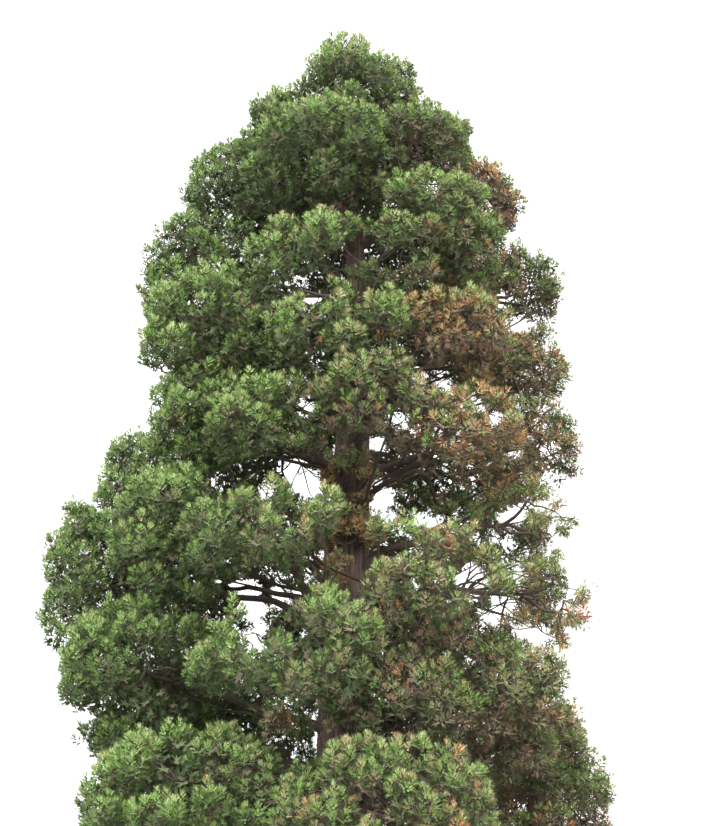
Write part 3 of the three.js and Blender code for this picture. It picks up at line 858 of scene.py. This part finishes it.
def growTwigs(mass):
    # heart to forks to side twigs, with the same draws as the model; their ends are kept for the lobes
    draw = mass["draw"]
    if not mass["open"]:
        for _ in range(twigForm["coreDraws"]):
            draw()
    mass["firstTurn"] = 2 * math.pi * draw()
    forks, ends, joins = [], [], []
    for main in dealtDirections(mass["forks"], mass["firstTurn"]):
        fork = main * mass["reach"] * twigForm["forkShare"] + mass["centre"]
        forks.append(fork)
        spin = 2 * math.pi * draw()
        for j in range(twigForm["sideTwigs"]):
            leastFan, moreFan = twigForm["unevenFan"]
            fan = twigForm["sideFan"] * (leastFan + moreFan * draw())
            turn = spin + j * 2 * math.pi / twigForm["sideTwigs"]
            side = fanned(main, np.array(fan), np.array(turn))
            if side @ mass["inward"] > twigForm["bareSide"]:
                continue
            draw()
            draw()
            ends.append(side * mass["reach"] * twigForm["rootShare"] + mass["centre"])
            joins.append(fork)
    forks, ends, joins = np.array(forks), np.array(ends), np.array(joins)
    hearts = np.repeat(mass["heart"][None], len(forks), axis=0)
    addTapered(hearts, forks, twigForm["mainSag"], twigForm["mainRadii"], 5, 6)
    addTapered(joins, ends, twigForm["sideSag"], twigForm["sideRadii"], 4, 5)
    outerLimb = mass["limb"][len(mass["limb"]) // 2:]
    mass["twigEnds"] = np.vstack([forks, ends, outerLimb])


def lobesToPlant(mass):
    # how many lobes a mass is given, between what radii, and how close they stand
    if mass["open"]:
        return lobeForm["openCount"], lobeForm["openRadius"], lobeForm["spacing"]
    if mass["tint"] == "clump":
        return lobeForm["clumpCount"], lobeForm["clumpRadius"], lobeForm["clumpSpacing"]
    wide, _, tall = mass["reach"] ** lobeForm["power"]
    area = 4 * math.pi * ((2 * wide * tall + wide * wide) / 3) ** (1 / lobeForm["power"])
    return int(round(lobeForm["perSquareMetre"] * area)), lobeForm["radius"], lobeForm["spacing"]


def beyondTrunk(points):
    # how far places stand outside the bark, and no limit above the trunk's tip
    axisX = np.array([trunkAxisAt(z)[0] for z in points[:, 2]])
    heights = np.minimum(points[:, 2], trunkForm["height"])
    beyond = np.hypot(points[:, 0] - axisX, points[:, 1]) - trunkRadiusAt(heights)
    return np.where(points[:, 2] > trunkForm["height"], np.inf, beyond)


def plantLobes(mass):
    rng = mass["rng"]
    count, sizes, spacing = lobesToPlant(mass)
    lobes = []
    for direction in dealtDirections(count, mass["firstTurn"]):
        radius = rng.uniform(*sizes)
        direction = unit(direction + lobeForm["jitter"] * rng.normal(size=3))
        thinning = rng.random()
        depth = rng.uniform(*lobeForm["openDepth" if mass["open"] else "depth"])
        if direction @ mass["inward"] > lobeForm["bareSide"]:
            continue
        if direction[2] < lobeForm["underSide"] and thinning < lobeForm["underThinning"]:
            continue
        surface = direction * mass["reach"]
        offset = surface * max(lobeForm["leastDepth"], depth - radius / np.linalg.norm(surface))
        for wallDirection, limit in mass["walls"]:
            past = offset @ wallDirection - (limit - lobeForm["wallRoom"] * radius)
            if past > 0:
                offset = offset - wallDirection * past
        centre = mass["centre"] + offset
        if beyondTrunk(centre[None])[0] < lobeForm["trunkRoom"] * radius:
            continue
        if isCleared(centre, mass, lobeForm["windowRoom"]):
            continue
        if any(np.linalg.norm(centre - lobe["centre"]) < spacing * (radius + lobe["radius"])
               for lobe in lobes):
            continue
        lobes.append({"centre": centre, "radius": radius, "mass": mass})
    return lobes


# A branch that hangs below the arching limb, as places along it, and the lobes on it
droopForm = {
    "mass": "right_arching",
    "places": [(3.5, -2.2, 10.0), (3.72, -2.2, 9.5), (3.98, -2.2, 9.12), (4.3, -2.2, 8.9),
               (4.6, -2.2, 8.78)],
    "step": 0.1,
    "lobes": 9,
    "radius": (0.05, 0.1),
    "radii": (0.022, 0.008),
}


def plantDroop():
    mass = next(mass for mass in masses if mass["name"] == droopForm["mass"])
    start = mass["limb"][np.argmin(np.linalg.norm(mass["limb"] - droopForm["places"][0], axis=1))]
    way = evenPath(np.vstack([start, droopForm["places"]]), droopForm["step"])
    addTwigs(way[None], np.linspace(*droopForm["radii"], len(way))[None], 5)
    radii = mass["rng"].uniform(*droopForm["radius"], droopForm["lobes"])
    centres = way[np.linspace(3, len(way) - 1, len(radii)).astype(int)]
    return [{"centre": centre, "radius": radius, "mass": mass} for centre, radius in zip(centres, radii)]


for mass in masses:
    growTwigs(mass)
lobes = [lobe for mass in masses for lobe in plantLobes(mass)] + plantDroop()
lobeCentres = np.array([lobe["centre"] for lobe in lobes])
lobeRadii = np.array([lobe["radius"] for lobe in lobes])
print("lobes of foliage planted:", len(lobes))


# Puffs: each lobe is covered with small rounded puffs of sprigs

puffForm = {
    "radius": (0.125, 0.185),
    "area": 0.074,  # of a lobe's outside for each puff
    "openArea": 0.125,
    "inset": 0.12,  # from the lobe's outside to a puff's middle
    "bumps": 0.09,  # how far a puff stands out or back, in metres
    "hidden": 0.86,  # inside this share of another lobe's radius a puff is left out
    "leastSky": 0.13,  # with less of the sky than this a puff is left out
    "windowRoom": (-0.06, 0.12),
    "sight": 4.0,  # how far the sky's rays are followed
    "leanOut": 0.55,  # a puff leans out from its lobe, up, less so where it is loose, and aside
    "leanUp": 0.8,
    "looseFall": 0.7,
    "leanAside": 0.2,
    "boxRoom": 0.15,  # from a puff's middle to the solids' box, its space's walls and the bark
    "wallRoom": 0.06,
    "trunkRoom": 0.12,
    "jitter": 0.15,
    "underSide": -0.75,  # below this a lobe has fewer puffs
    "underThinning": 0.4,
    "rays": 28,  # to find how much sky a puff sees
    "sideSky": 0.45,  # what a level ray counts, next to one from above
    "solid": 0.8,  # the share of a lobe's radius that stops a ray
}

# The sprays hang looser towards the right, below the top of the crown
looseForm = {
    "sides": (0.3, 4.5),
    "heights": (17.0, 22.0),
    "most": 0.8,
    "open": 1.4,  # on the open masses
    "droop": 1.5,  # how far loose sprays turn from rising to hanging
}


def looseAt(points):
    aside = np.interp(points[:, 0], looseForm["sides"], (0, looseForm["most"]))
    return aside * np.interp(points[:, 2], looseForm["heights"], (1, 0))


def skyShare(points, rays, blocking):
    # how much of the sky each point sees: the share of rays from it that no lobe stops
    weights = puffForm["sideSky"] + np.maximum(0, rays[:, 2])
    ways = lobeCentres[blocking][None] - points[:, None]
    along = ways @ rays.T
    missed = (ways ** 2).sum(-1)[..., None] - along ** 2
    stopped = (along > 0.1) & (missed < (lobeRadii[blocking][None, :, None] * puffForm["solid"]) ** 2)
    return (~stopped.any(1) * weights).sum(1) / weights.sum()


def dealPuffs():
    # the middle, outward direction, lobe and share of the sky of every puff in the crown
    found = []
    rays = dealtDirections(puffForm["rays"], 0.4)
    lowest, highest = np.array(cadBox[0]) + puffForm["boxRoom"], np.array(cadBox[1]) - puffForm["boxRoom"]
    for i, lobe in enumerate(lobes):
        mass, radius, centre = lobe["mass"], lobe["radius"], lobe["centre"]
        rng = mass["rng"]
        area = puffForm["openArea" if mass["open"] else "area"]
        count = max(6, int(round(4 * math.pi * radius ** 2 / area)))
        directions = dealtDirections(count, rng.uniform(0, 6.28))
        directions = unit(directions + puffForm["jitter"] * rng.normal(size=(count, 3)))
        depth = radius - puffForm["inset"] + puffForm["bumps"] * rng.uniform(-1, 1, count)
        points = centre + directions * depth[:, None]
        shown = isInside(mass, points, puffForm["wallRoom"])
        shown &= ((points < highest) & (points > lowest)).all(1)
        distances = np.linalg.norm(lobeCentres - centre, axis=1)
        near = distances < radius + lobeRadii
        near[i] = False
        for other in np.flatnonzero(near):
            apart = np.linalg.norm(points - lobeCentres[other], axis=1)
            shown &= apart > puffForm["hidden"] * lobeRadii[other]
        thinned = rng.random(count) < puffForm["underThinning"]
        shown &= ~((directions[:, 2] < puffForm["underSide"]) & thinned)
        shown &= beyondTrunk(points) > puffForm["trunkRoom"]
        shown &= ~isCleared(points, mass, rng.uniform(*puffForm["windowRoom"], count))
        points, directions = points[shown], directions[shown]
        if not len(points):
            continue
        blocking = np.flatnonzero(distances < puffForm["sight"] + radius)
        sky = skyShare(points, rays, blocking)
        seen = sky > puffForm["leastSky"]
        found.append((points[seen], directions[seen], np.full(seen.sum(), i), sky[seen]))
    return [np.concatenate(column) for column in zip(*found)]


puffMiddles, puffOuts, puffLobes, puffSky = dealPuffs()
puffCount = len(puffMiddles)
print("puffs dealt:", puffCount)

crownRng = np.random.default_rng(2026)
tintRng = np.random.default_rng(31)  # for what a whole lobe or puff shares
puffRadii = crownRng.uniform(*puffForm["radius"], puffCount)
puffLoose = looseAt(puffMiddles)
puffLoose[[lobes[i]["mass"]["open"] for i in puffLobes]] = looseForm["open"]
puffRise = puffForm["leanUp"] * (1 - puffForm["looseFall"] * puffLoose)
puffStray = puffForm["leanAside"] * (1 + puffLoose)[:, None] * crownRng.normal(size=(puffCount, 3))
puffAxes = unit(puffForm["leanOut"] * puffOuts + puffRise[:, None] * upward + puffStray)


# Sprigs: the smallest piece of foliage, three pointed fingers of scale leaves on one foot

sprigForm = {
    "width": 0.15,  # of the middle finger's foot, as a share of the sprig's length
    "foot": 0.14,  # where along the sprig its side fingers stand, and how wide their feet are
    "footWidth": 0.12,
    "reach": 0.85,  # how far along it their tips come
    "spread": 0.42,
    "lift": 0.1,  # of the side fingers' tips off the sprig's face
    "counts": (4, 9, 13),  # sprigs on a puff that sees little, some or much of the sky
    "skies": (0.12, 0.2, 0.34),
    "levels": (0, 0.35, 1),  # a puff's broad lowest sprigs, its first short ones and its top ones
    "roots": (-0.6, -0.05, 0.35),  # along the puff's axis, in puff radii
    "outs": (0.0, 0.35, 0.4),  # from that axis along the sprig, in puff radii
    "fans": (80, 66, 8),  # degrees off that axis
    "stray": 10,  # and how much more on loose puffs
    "looseStray": 1.5,
    "lengths": (1.25, 0.8, 0.62),  # in puff radii
    "uneven": (0.8, 1.2),
    "widths": (1.7, 2.1, 2.25),  # times the width and footWidth
    "faceOut": 0.7,  # a sprig's face is turned outwards, up and by chance
    "faceUp": 0.5,
    "faceStray": 0.25,
    "upsweep": 0.3,
    "looseFan": 10,  # on the loose masses, more open, longer and narrower
    "looseLength": 0.25,
    "looseNarrowing": 0.3,
}


def sprigFingers(roots, along, facing, lengths, widths):
    # three fingers each, as three corners: the middle one from its foot to its tip, and one to each side
    face = unit(facing - along * (facing * along).sum(-1, keepdims=True))
    side = np.cross(along, face)
    length = lengths[:, None]
    tip = roots + along * length
    halfFoot = side * widths * length * sprigForm["width"] / 2
    near = roots + along * length * sprigForm["foot"]
    far = near + along * length * widths * sprigForm["footWidth"]
    sideTip = roots + along * length * sprigForm["reach"] + face * length * sprigForm["lift"]
    spread = side * length * sprigForm["spread"]
    corners = [roots - halfFoot, roots + halfFoot, tip]
    corners += [near, far, sideTip - spread]
    corners += [near, sideTip + spread, far]
    return np.stack(corners, axis=1).reshape(len(roots), 3, 3, 3)


def growPuffs():
    # every puff's sprigs: their fingers, the puff each belongs to and its place from the puff's base up
    counts = np.interp(puffSky, sprigForm["skies"], sprigForm["counts"]).round().astype(int)
    owner = np.repeat(np.arange(puffCount), counts)
    number = np.arange(len(owner)) - np.repeat(np.cumsum(counts) - counts, counts)
    place = (number + 0.5) / counts[owner]
    axes, radii, loose = puffAxes[owner], puffRadii[owner], puffLoose[owner]

    def atLevel(name):
        return np.interp(place, sprigForm["levels"], sprigForm[name])

    stray = sprigForm["stray"] * (1 + sprigForm["looseStray"] * loose) * crownRng.uniform(-1, 1, len(owner))
    fan = np.radians(atLevel("fans") + sprigForm["looseFan"] * loose + stray)
    turn = crownRng.uniform(0, 2 * math.pi, puffCount)[owner] + number * goldenAngle
    rise = sprigForm["upsweep"] * (1 - looseForm["droop"] * loose)
    along = unit(fanned(axes, fan, turn) + rise[:, None] * upward)
    roots = puffMiddles[owner] + axes * (radii * atLevel("roots"))[:, None]
    roots += along * (radii * atLevel("outs"))[:, None]
    lengths = radii * atLevel("lengths") * crownRng.uniform(*sprigForm["uneven"], len(owner))
    lengths *= 1 + sprigForm["looseLength"] * loose
    facing = puffOuts[owner] * sprigForm["faceOut"] + upward * sprigForm["faceUp"]
    facing += sprigForm["faceStray"] * crownRng.normal(size=(len(owner), 3))
    widths = atLevel("widths") * (1 - sprigForm["looseNarrowing"] * loose)
    return sprigFingers(roots, along, facing, lengths, widths[:, None]), owner, place


# Colours that have a place, as screen colours: a darker and a lighter one for each kind of spray. The
# greens, from shade to tip, are lighter and darker copies dealt as painted light and shade, the tips partly
# paler young growth; the browns, from umber to straw, and the duller kinds are dealt the same way, partly as
# painted light and shade and partly as their own tones
needleKinds = {
    "shade": ("576540", "65744d", "foliage_dark"),
    "deep": ("658242", "75954e", "foliage_green"),
    "green": ("84a455", "96b662", "foliage_green"),
    "bright": ("a2bb77", "b3c98a", "foliage_green"),
    "tip": ("bccd93", "cad9a4", "foliage_green"),
    "dun": ("7e755a", "8e856a", "foliage_mixed"),
    "olive": ("a69c70", "bab082", "foliage_mixed"),
    "umber": ("6b5950", "7d695d", "foliage_brown"),
    "russet": ("a87550", "ba8a62", "foliage_brown"),
    "rust": ("c8834f", "d69763", "foliage_brown"),
    "straw": ("c6996a", "d6ad82", "foliage_brown"),
    "vivid": ("b9593c", "c86e4a", "foliage_brown"),
}
kindNames = list(needleKinds)


def kindNumbers(*names):
    return np.array([kindNames.index(name) for name in names])


tintForm = {
    # how much browner the puffs of a mass are, and how far its greens are lightened as painted light, or
    # darkened below 0 as painted shade: most lightened on the trunk's clump and the open masses, darkened on
    # the dark ones
    "green": (0.0, 0.0),
    "mixed": (0.1, 0.05),
    "open": (0.1, 0.35),
    "brown": (0.42, 0.12),
    "dark": (0.1, -0.1),
    "clump": (0.4, 1.4),
}

# How light a puff's greens are, as shares of the steps from one kind to the next: painted light and shade by
# height, facing, sky and place in the puff, and tone that differs at random by lobe, patch, sprig and finger
shadeForm = {
    "heights": (10, 13, 16, 18.5, 22.5, 24.5),  # in the crown: painted shade low down and on its shoulders, painted light between
    "lightening": (-0.1, 0.08, 0.08, -0.24, -0.22, 0.02),
    "lobes": 0.22,  # how far lobes differ by themselves
    "facing": 0.48,  # painted light on a lobe's top, near a mass's top and where more of the sky is seen, painted shade below and where less is seen
    "level": 0.15,
    "sky": 0.9,
    "middleSky": 0.35,
    "base": -0.05,
    "patches": 0.3,
    "place": 1.9,  # from a puff's base to its top: painted shade at its base and painted light at its top, partly the paler young growth at the tips
    "first": 0.95,  # the kind at which it starts, and how it varies by sprig and by finger
    "sprig": 0.6,
    "finger": 0.6,
    "outer": (0.55, -0.2, -0.2),  # the middle finger reaches into the light: a painted highlight on it, painted shade on the side fingers
}

brownForm = {
    "sides": (-3.5, 0.5, 4.5),  # how brown the crown is from its left to its right
    "shares": (0.05, 0.26, 0.45),
    "heights": (17, 24),  # and towards its top
    "rise": (1, 0.6),
    "wide": (0.6, 0.35),  # wide patches and fine ones: how close they are, and how much they do
    "fine": (2.1, 0.8),
    "level": -0.45,  # browner low in a mass, and where little of the sky is seen
    "hidden": 0.3,
    "hiddenSky": 0.3,
    "range": (0.18, 0.95),  # how brown a puff is where none and where all such puffs turn
    "patch": 0.65,  # how far the puffs of a lobe turn together
    "share": (0.7, 1.0),  # of a brown puff's fingers that are brown, the rest stay green
    "steps": (1.35, 2.45, 2.95),  # from umber to russet, rust and straw
    "oliveShares": (0.04, 0.19, 0.2),  # of all fingers, from the crown's left to its right
    "oliveHeights": (12, 20),  # and how many times as many low and high in the crown
    "oliveRise": (1.8, 1.0),
    "stray": 0.15,  # more of them on the browner puffs
    "oliveSteps": (1.9, 3.6),  # from dun to olive and straw
    "vividShare": 0.0003,  # of all puffs
    "vividTuft": {"right_tip": (5.54, 10.1, 0.17, 0.17, -1.0)},
}


def puffTints():
    # how brown and how light each puff is: browner to the right, low in its mass, and in patches; its
    # lightness is mostly painted light and shade, with tone at random by lobe and patch
    brown = np.empty(puffCount)
    light = np.interp(puffMiddles[:, 2], shadeForm["heights"], shadeForm["lightening"])
    light += shadeForm["lobes"] * tintRng.uniform(-1, 1, len(lobes))[puffLobes]
    for i in range(puffCount):
        mass = lobes[puffLobes[i]]["mass"]
        browner, lighter = tintForm[mass["tint"]]
        place = Vector(puffMiddles[i])
        share = np.interp(place.x, brownForm["sides"], brownForm["shares"]) + browner
        share *= np.interp(place.z, brownForm["heights"], brownForm["rise"])
        wide, fine = [noise.noise(place * brownForm[name][0]) for name in ("wide", "fine")]
        level = (place.z - mass["centre"][2]) / mass["reach"][2]
        uneven = brownForm["wide"][1] * wide + brownForm["fine"][1] * fine + brownForm["level"] * level
        hidden = brownForm["hidden"] * (brownForm["hiddenSky"] - puffSky[i])
        brown[i] = share + share ** 0.5 * uneven + hidden
        # painted light on the lobe's top, high in the mass, where more sky is seen and by the mass's tint;
        # painted shade the other way
        light[i] += shadeForm["facing"] * puffOuts[i][2] + shadeForm["base"] + shadeForm["level"] * level
        skyward = shadeForm["sky"] * (puffSky[i] - shadeForm["middleSky"])
        light[i] += skyward + shadeForm["patches"] * fine + lighter
    return brown, light


def dealKinds(owner, place):
    # the kind of each finger, from dark to light up the puff as painted shade and light: greens, or browns
    # by how brown its puff is
    brown, light = puffTints()
    shape = (len(owner), 3)
    step = shadeForm["sprig"] * crownRng.random(shape[0])[:, None]
    step = step + shadeForm["finger"] * crownRng.random(shape)
    # the score: painted light and shade from how lit the puff is and the sprig's place in it, the middle
    # finger lighter, plus random steps of tone
    score = shadeForm["place"] * (light[owner] + place - 0.5)[:, None]
    score = score + shadeForm["first"] + np.array(shadeForm["outer"]) + step
    greens = kindNumbers("shade", "deep", "green", "bright", "tip")
    kinds = greens[np.clip(score.astype(int), 0, len(greens) - 1)]
    chance = (1 - brownForm["patch"]) * tintRng.random(puffCount)
    chance += brownForm["patch"] * tintRng.random(len(lobes))[puffLobes]
    isBrown = chance < np.interp(brown, brownForm["range"], (0, 1))
    draws = crownRng.random(shape)
    shares = tintRng.uniform(*brownForm["share"], puffCount)
    turned = draws < (isBrown * shares)[owner][:, None]
    # browns by the same score: umber in painted shade up to straw in painted light, partly their own tones
    browns = kindNumbers("umber", "russet", "rust", "straw")
    kinds[turned] = browns[np.searchsorted(brownForm["steps"], score[turned])]
    olives = np.interp(puffMiddles[:, 0], brownForm["sides"], brownForm["oliveShares"])
    olives *= np.interp(puffMiddles[:, 2], brownForm["oliveHeights"], brownForm["oliveRise"])
    olives += brownForm["stray"] * np.clip(brown, 0, 1)
    draws = 0.5 * tintRng.random(puffCount)[owner][:, None] + 0.5 * crownRng.random(shape)
    mixed = draws < np.sqrt(olives / 2)[owner][:, None]  # so that they gather in some puffs
    # the duller kinds likewise by the painted light and shade of the score
    duller = kindNumbers("dun", "olive", "straw")
    kinds[mixed] = duller[np.searchsorted(brownForm["oliveSteps"], score[mixed])]
    vivid = tintRng.random(puffCount) < brownForm["vividShare"]
    vivid |= inWindow(puffMiddles, brownForm["vividTuft"])
    kinds[vivid[owner]] = kindNames.index("vivid")
    return kinds


# Inside each lobe and mass, knots of dark older foliage that the light hardly reaches; their darkest green
# is partly painted shade
innerForm = {
    "sprigs": 22,
    "length": 0.48,  # of the knot's radius
    "uneven": (0.75, 1.1),
    "scatter": 0.62,  # of their feet, round the knot's middle
    "lean": (0.5, 0.6, 0.3),  # how far a sprig points outwards, by chance and up
    "faceStray": 0.5,
    "wallRoom": 0.1,
    "windowRoom": 0.12,
    "knots": 1.4,  # in a cubic metre of a dense mass's space
    "knotRadius": 0.5,
    "knotShare": 0.62,  # how far towards the outside of that space
    "widening": 2.6,
    "looseShare": 0.9,  # how many are left out where the sprays hang loosest
    "brownShares": {"green": 0.15, "mixed": 0.6, "open": 0.6, "brown": 0.85, "dark": 0.7, "clump": 0.9},
}


def dealKnots(rng):
    # the middles, radii and masses of the knots: one in each lobe of a dense mass, more in the mass's depth
    middles, radii, owners = [], [], []
    for mass in masses:
        if mass["open"]:
            continue
        count = int(innerForm["knots"] * 4 / 3 * math.pi * np.prod(mass["reach"]))
        ways = unit(rng.normal(size=(count, 3))) * rng.random((count, 1)) ** (1 / 3)
        points = mass["centre"] + innerForm["knotShare"] * ways * mass["reach"]
        clear = trunkRadiusAt(np.minimum(points[:, 2], trunkForm["height"])) + innerForm["knotRadius"]
        shown = isInside(mass, points, innerForm["wallRoom"])
        points = points[shown & (np.hypot(points[:, 0], points[:, 1]) > clear)]
        own = [i for i, lobe in enumerate(lobes) if lobe["mass"] is mass]
        middles += [lobeCentres[own], points]
        radii += [lobeRadii[own], np.full(len(points), innerForm["knotRadius"])]
        owners += [mass["index"]] * (len(own) + len(points))
    return np.vstack(middles), np.concatenate(radii), np.array(owners)


def growInner():
    rng = np.random.default_rng(77)
    count = innerForm["sprigs"]
    knotMiddles, knotRadii, knotMass = dealKnots(rng)
    owner = np.repeat(np.arange(len(knotMass)), count)
    number = np.tile(np.arange(count), len(knotMass))
    outward = dealtDirections(count, 0.0)[number]
    feet = knotMiddles[owner] + innerForm["scatter"] * knotRadii[owner][:, None] * outward
    leanOut, leanBy, leanUp = innerForm["lean"]
    along = unit(leanOut * outward + leanBy * rng.normal(size=(len(owner), 3)) + leanUp * upward)
    lengths = innerForm["length"] * knotRadii[owner] * rng.uniform(*innerForm["uneven"], len(owner))
    facing = outward + innerForm["faceStray"] * rng.normal(size=(len(owner), 3))
    fingers = sprigFingers(feet, along, facing, lengths, innerForm["widening"])
    middles = fingers.mean((1, 2))
    kept = ~(inWindow(middles, {**skyWindows, **limbWindows}, innerForm["windowRoom"]) | inSieve(middles))
    kept &= rng.random(len(middles)) > innerForm["looseShare"] * looseAt(middles)
    kept &= ((middles > cadBox[0]) & (middles < cadBox[1])).all(1)
    dark, brown = kindNumbers("shade", "umber")
    shares = np.array([innerForm["brownShares"][mass["tint"]] for mass in masses])
    massOf = knotMass[owner]
    kinds = np.where(rng.random((len(owner), 3)) < shares[massOf][:, None], brown, dark)
    return fingers[kept], kinds[kept], massOf[kept]


mostTriangles = 165000  # in one piece


def makeNeedles():
    fingers, owner, place = growPuffs()
    kinds = dealKinds(owner, place)
    innerFingers, innerKinds, innerMass = growInner()
    corners = np.concatenate([fingers, innerFingers]).reshape(-1, 3, 3)
    kinds = np.concatenate([kinds, innerKinds]).ravel()
    lobeMass = np.array([lobe["mass"]["index"] for lobe in lobes])
    massOf = np.repeat(np.concatenate([lobeMass[puffLobes[owner]], innerMass]), 3)
    total = 0
    for k, (kind, (dark, light, slotName)) in enumerate(needleKinds.items()):
        material = needleMaterial("needles_" + kind, dark, light)
        chosen = np.flatnonzero(kinds == k)
        chosen = chosen[np.argsort(massOf[chosen], kind="stable")]
        pieces = math.ceil(len(chosen) / mostTriangles)
        for j, part in enumerate(np.array_split(chosen, pieces)):
            name = "needles_" + kind + ("" if pieces == 1 else "_" + str(j + 1))
            faces = np.arange(3 * len(part)).reshape(-1, 3)
            piece = meshFromArrays(name, corners[part].reshape(-1, 3), faces)
            finishPiece(piece, material, [masses[i]["node"] for i in np.unique(massOf[part])])
            print(name, len(part), "triangles")
            total += len(part)
    print("needles in all:", total)


makeNeedles()


# Twigs: from the side twigs to the lobes, from the lobes to the puffs, and dead ones on the inner limbs

deadForm = {
    "perMetre": 7,
    "length": (0.25, 0.8),
    "radii": (0.009, 0.004),
    "sag": -0.1,
    "rise": (-0.5, 0.4),
    "lean": 0.5,  # along the limb
}


def growLobeTwigs():
    starts = []
    for lobe in lobes:
        ends = lobe["mass"]["twigEnds"]
        starts.append(ends[np.argmin(np.linalg.norm(ends - lobe["centre"], axis=1))])
    addTapered(np.array(starts), lobeCentres, twigForm["lobeSag"], twigForm["lobeRadii"], 6, 4)


def growSideLimbs():
    # limbs that leave a mass's own limb along its way, swing away from it and end in the mass's lobes
    rng = np.random.default_rng(29)
    feet, ends, ways, radii = [], [], [], []
    for mass in masses:
        least = mass["centre"][2] + twigForm["lowestEnd"] * mass["reach"][2]
        own = [lobe["centre"] for lobe in lobes if lobe["mass"] is mass and lobe["centre"][2] > least]
        count = twigForm["boughSideLimbs"] if mass["bough"] else twigForm["sideLimbs"]
        path = mass["limb"]
        for k in rng.permutation(len(own))[:count]:
            at = int(len(path) * rng.uniform(*twigForm["sideLimbFrom"]))
            feet.append(path[at])
            ways.append(path[at + 1] - path[at - 1])
            ends.append(own[k])
            radii.append(twigForm["sideLimbRadii"])
        for k in rng.permutation(len(own))[:0 if mass["open"] else twigForm["trunkLimbs"]]:
            out = own[k] - trunkAxisAt(own[k][2])
            foot = own[k][2] - rng.uniform(0, twigForm["trunkLimbDrop"]) * np.linalg.norm(out)
            feet.append(trunkAxisAt(min(foot, trunkForm["height"] - 1)))
            ways.append(out)
            ends.append(own[k])
            radii.append(twigForm["trunkLimbRadii"])
    feet, ends, ways = [np.array(column)[:, None] for column in (feet, ends, ways)]
    t = np.linspace(0, 1, 12)[None, :, None]
    length = np.linalg.norm(ends - feet, axis=-1, keepdims=True)
    bend = feet + 0.5 * length * unit(ways)
    swing = twigForm["sideLimbSwing"] * twigForm["swing"] * rng.normal(size=(len(feet), 1, 3))
    swing = swing * np.sin(2 * math.pi * twigForm["sideLimbWaves"] * t)
    paths = (1 - t) ** 2 * feet + 2 * t * (1 - t) * bend + t ** 2 * ends + length * swing * (1 - t)
    thick, thin = np.array(radii).T[:, :, None]
    limbRadii = thick + (thin - thick) * t[:, :, 0]
    fromTrunk = limbRadii[:, 0] == twigForm["trunkLimbRadii"][0]
    crossing = fromTrunk & (inWindow(paths, skyWindows).mean(1) > twigForm["windowShare"])
    addTwigs(paths[~crossing], limbRadii[~crossing], 6)


def growDeadTwigs():
    rng = np.random.default_rng(5)
    starts, ends = [], []
    for mass in masses:
        path = mass["limb"]
        length = len(path) * limbForm["stepLength"]
        for _ in range(int(length * deadForm["perMetre"])):
            at = rng.integers(len(path) // 5, len(path))
            along = unit(path[min(at + 1, len(path) - 1)] - path[at - 1])
            aside = unit(np.cross(along, rng.normal(size=3)))
            way = unit(deadForm["lean"] * along + aside + rng.uniform(*deadForm["rise"]) * upward)
            starts.append(path[at])
            ends.append(path[at] + way * rng.uniform(*deadForm["length"]))
    addTapered(np.array(starts), np.array(ends), deadForm["sag"], deadForm["radii"], 4, 3)


def twigRings(paths, radii, sides):
    # rings of points round each path
    along = unit(np.gradient(paths, axis=1))
    overall = unit(paths[:, -1] - paths[:, 0])
    aside = np.where(np.abs(overall[:, 2:3]) < 0.9, upward, sideward)
    sideways = unit(np.cross(along, aside[:, None]))
    over = np.cross(along, sideways)
    angles = np.arange(sides) * 2 * math.pi / sides
    ring = np.cos(angles)[:, None] * sideways[:, :, None] + np.sin(angles)[:, None] * over[:, :, None]
    return paths[:, :, None] + ring * radii[:, :, None, None]


def finishTwigs(name, points, faces):
    piece = meshFromArrays(name, points, faces)
    relief = piece.data.attributes.new("relief", "FLOAT", "POINT")
    relief.data.foreach_set("value", np.full(len(points), twigForm["relief"], np.float32))
    finishPiece(piece, boughBark, [mass["node"] for mass in masses])
    print(name, (faces.shape[1] - 2) * len(faces), "triangles")


def makeTwigs():
    growLobeTwigs()
    growSideLimbs()
    growDeadTwigs()
    points, quads = [], []
    start = 0
    for paths, radii, sides in twigBatches:
        count, steps, _ = paths.shape
        points.append(twigRings(paths, radii, sides).reshape(-1, 3))
        corner = np.arange(sides)
        following = (corner + 1) % sides
        level = np.arange(steps - 1)[:, None] * sides
        near, far = level + corner, level + following
        quad = np.stack([near, far, far + sides, near + sides], -1)
        offsets = start + np.arange(count)[:, None, None, None] * steps * sides
        quads.append((quad[None] + offsets).reshape(-1, 4))
        start += count * steps * sides
    finishTwigs("twigs", np.concatenate(points), np.concatenate(quads))


def makeSpurs():
    # a slim three-sided spur from each lobe's middle to a point in each of its puffs that can be seen
    shown = np.flatnonzero(puffSky > twigForm["spurSky"])
    tips = (puffMiddles + puffAxes * (twigForm["spurReach"] * puffRadii)[:, None])[shown]
    paths = np.stack([lobeCentres[puffLobes[shown]], tips], axis=1)
    radii = np.full((len(shown), 2), twigForm["spurRadius"])
    feet = twigRings(paths, radii, 3)[:, 0]
    points = np.concatenate([feet, tips[:, None]], axis=1)
    faces = np.array([(0, 1, 3), (1, 2, 3), (2, 0, 3)])
    faces = (faces[None] + 4 * np.arange(len(shown))[:, None, None]).reshape(-1, 3)
    finishTwigs("spurs", points.reshape(-1, 3), faces)


makeTwigs()
makeSpurs()
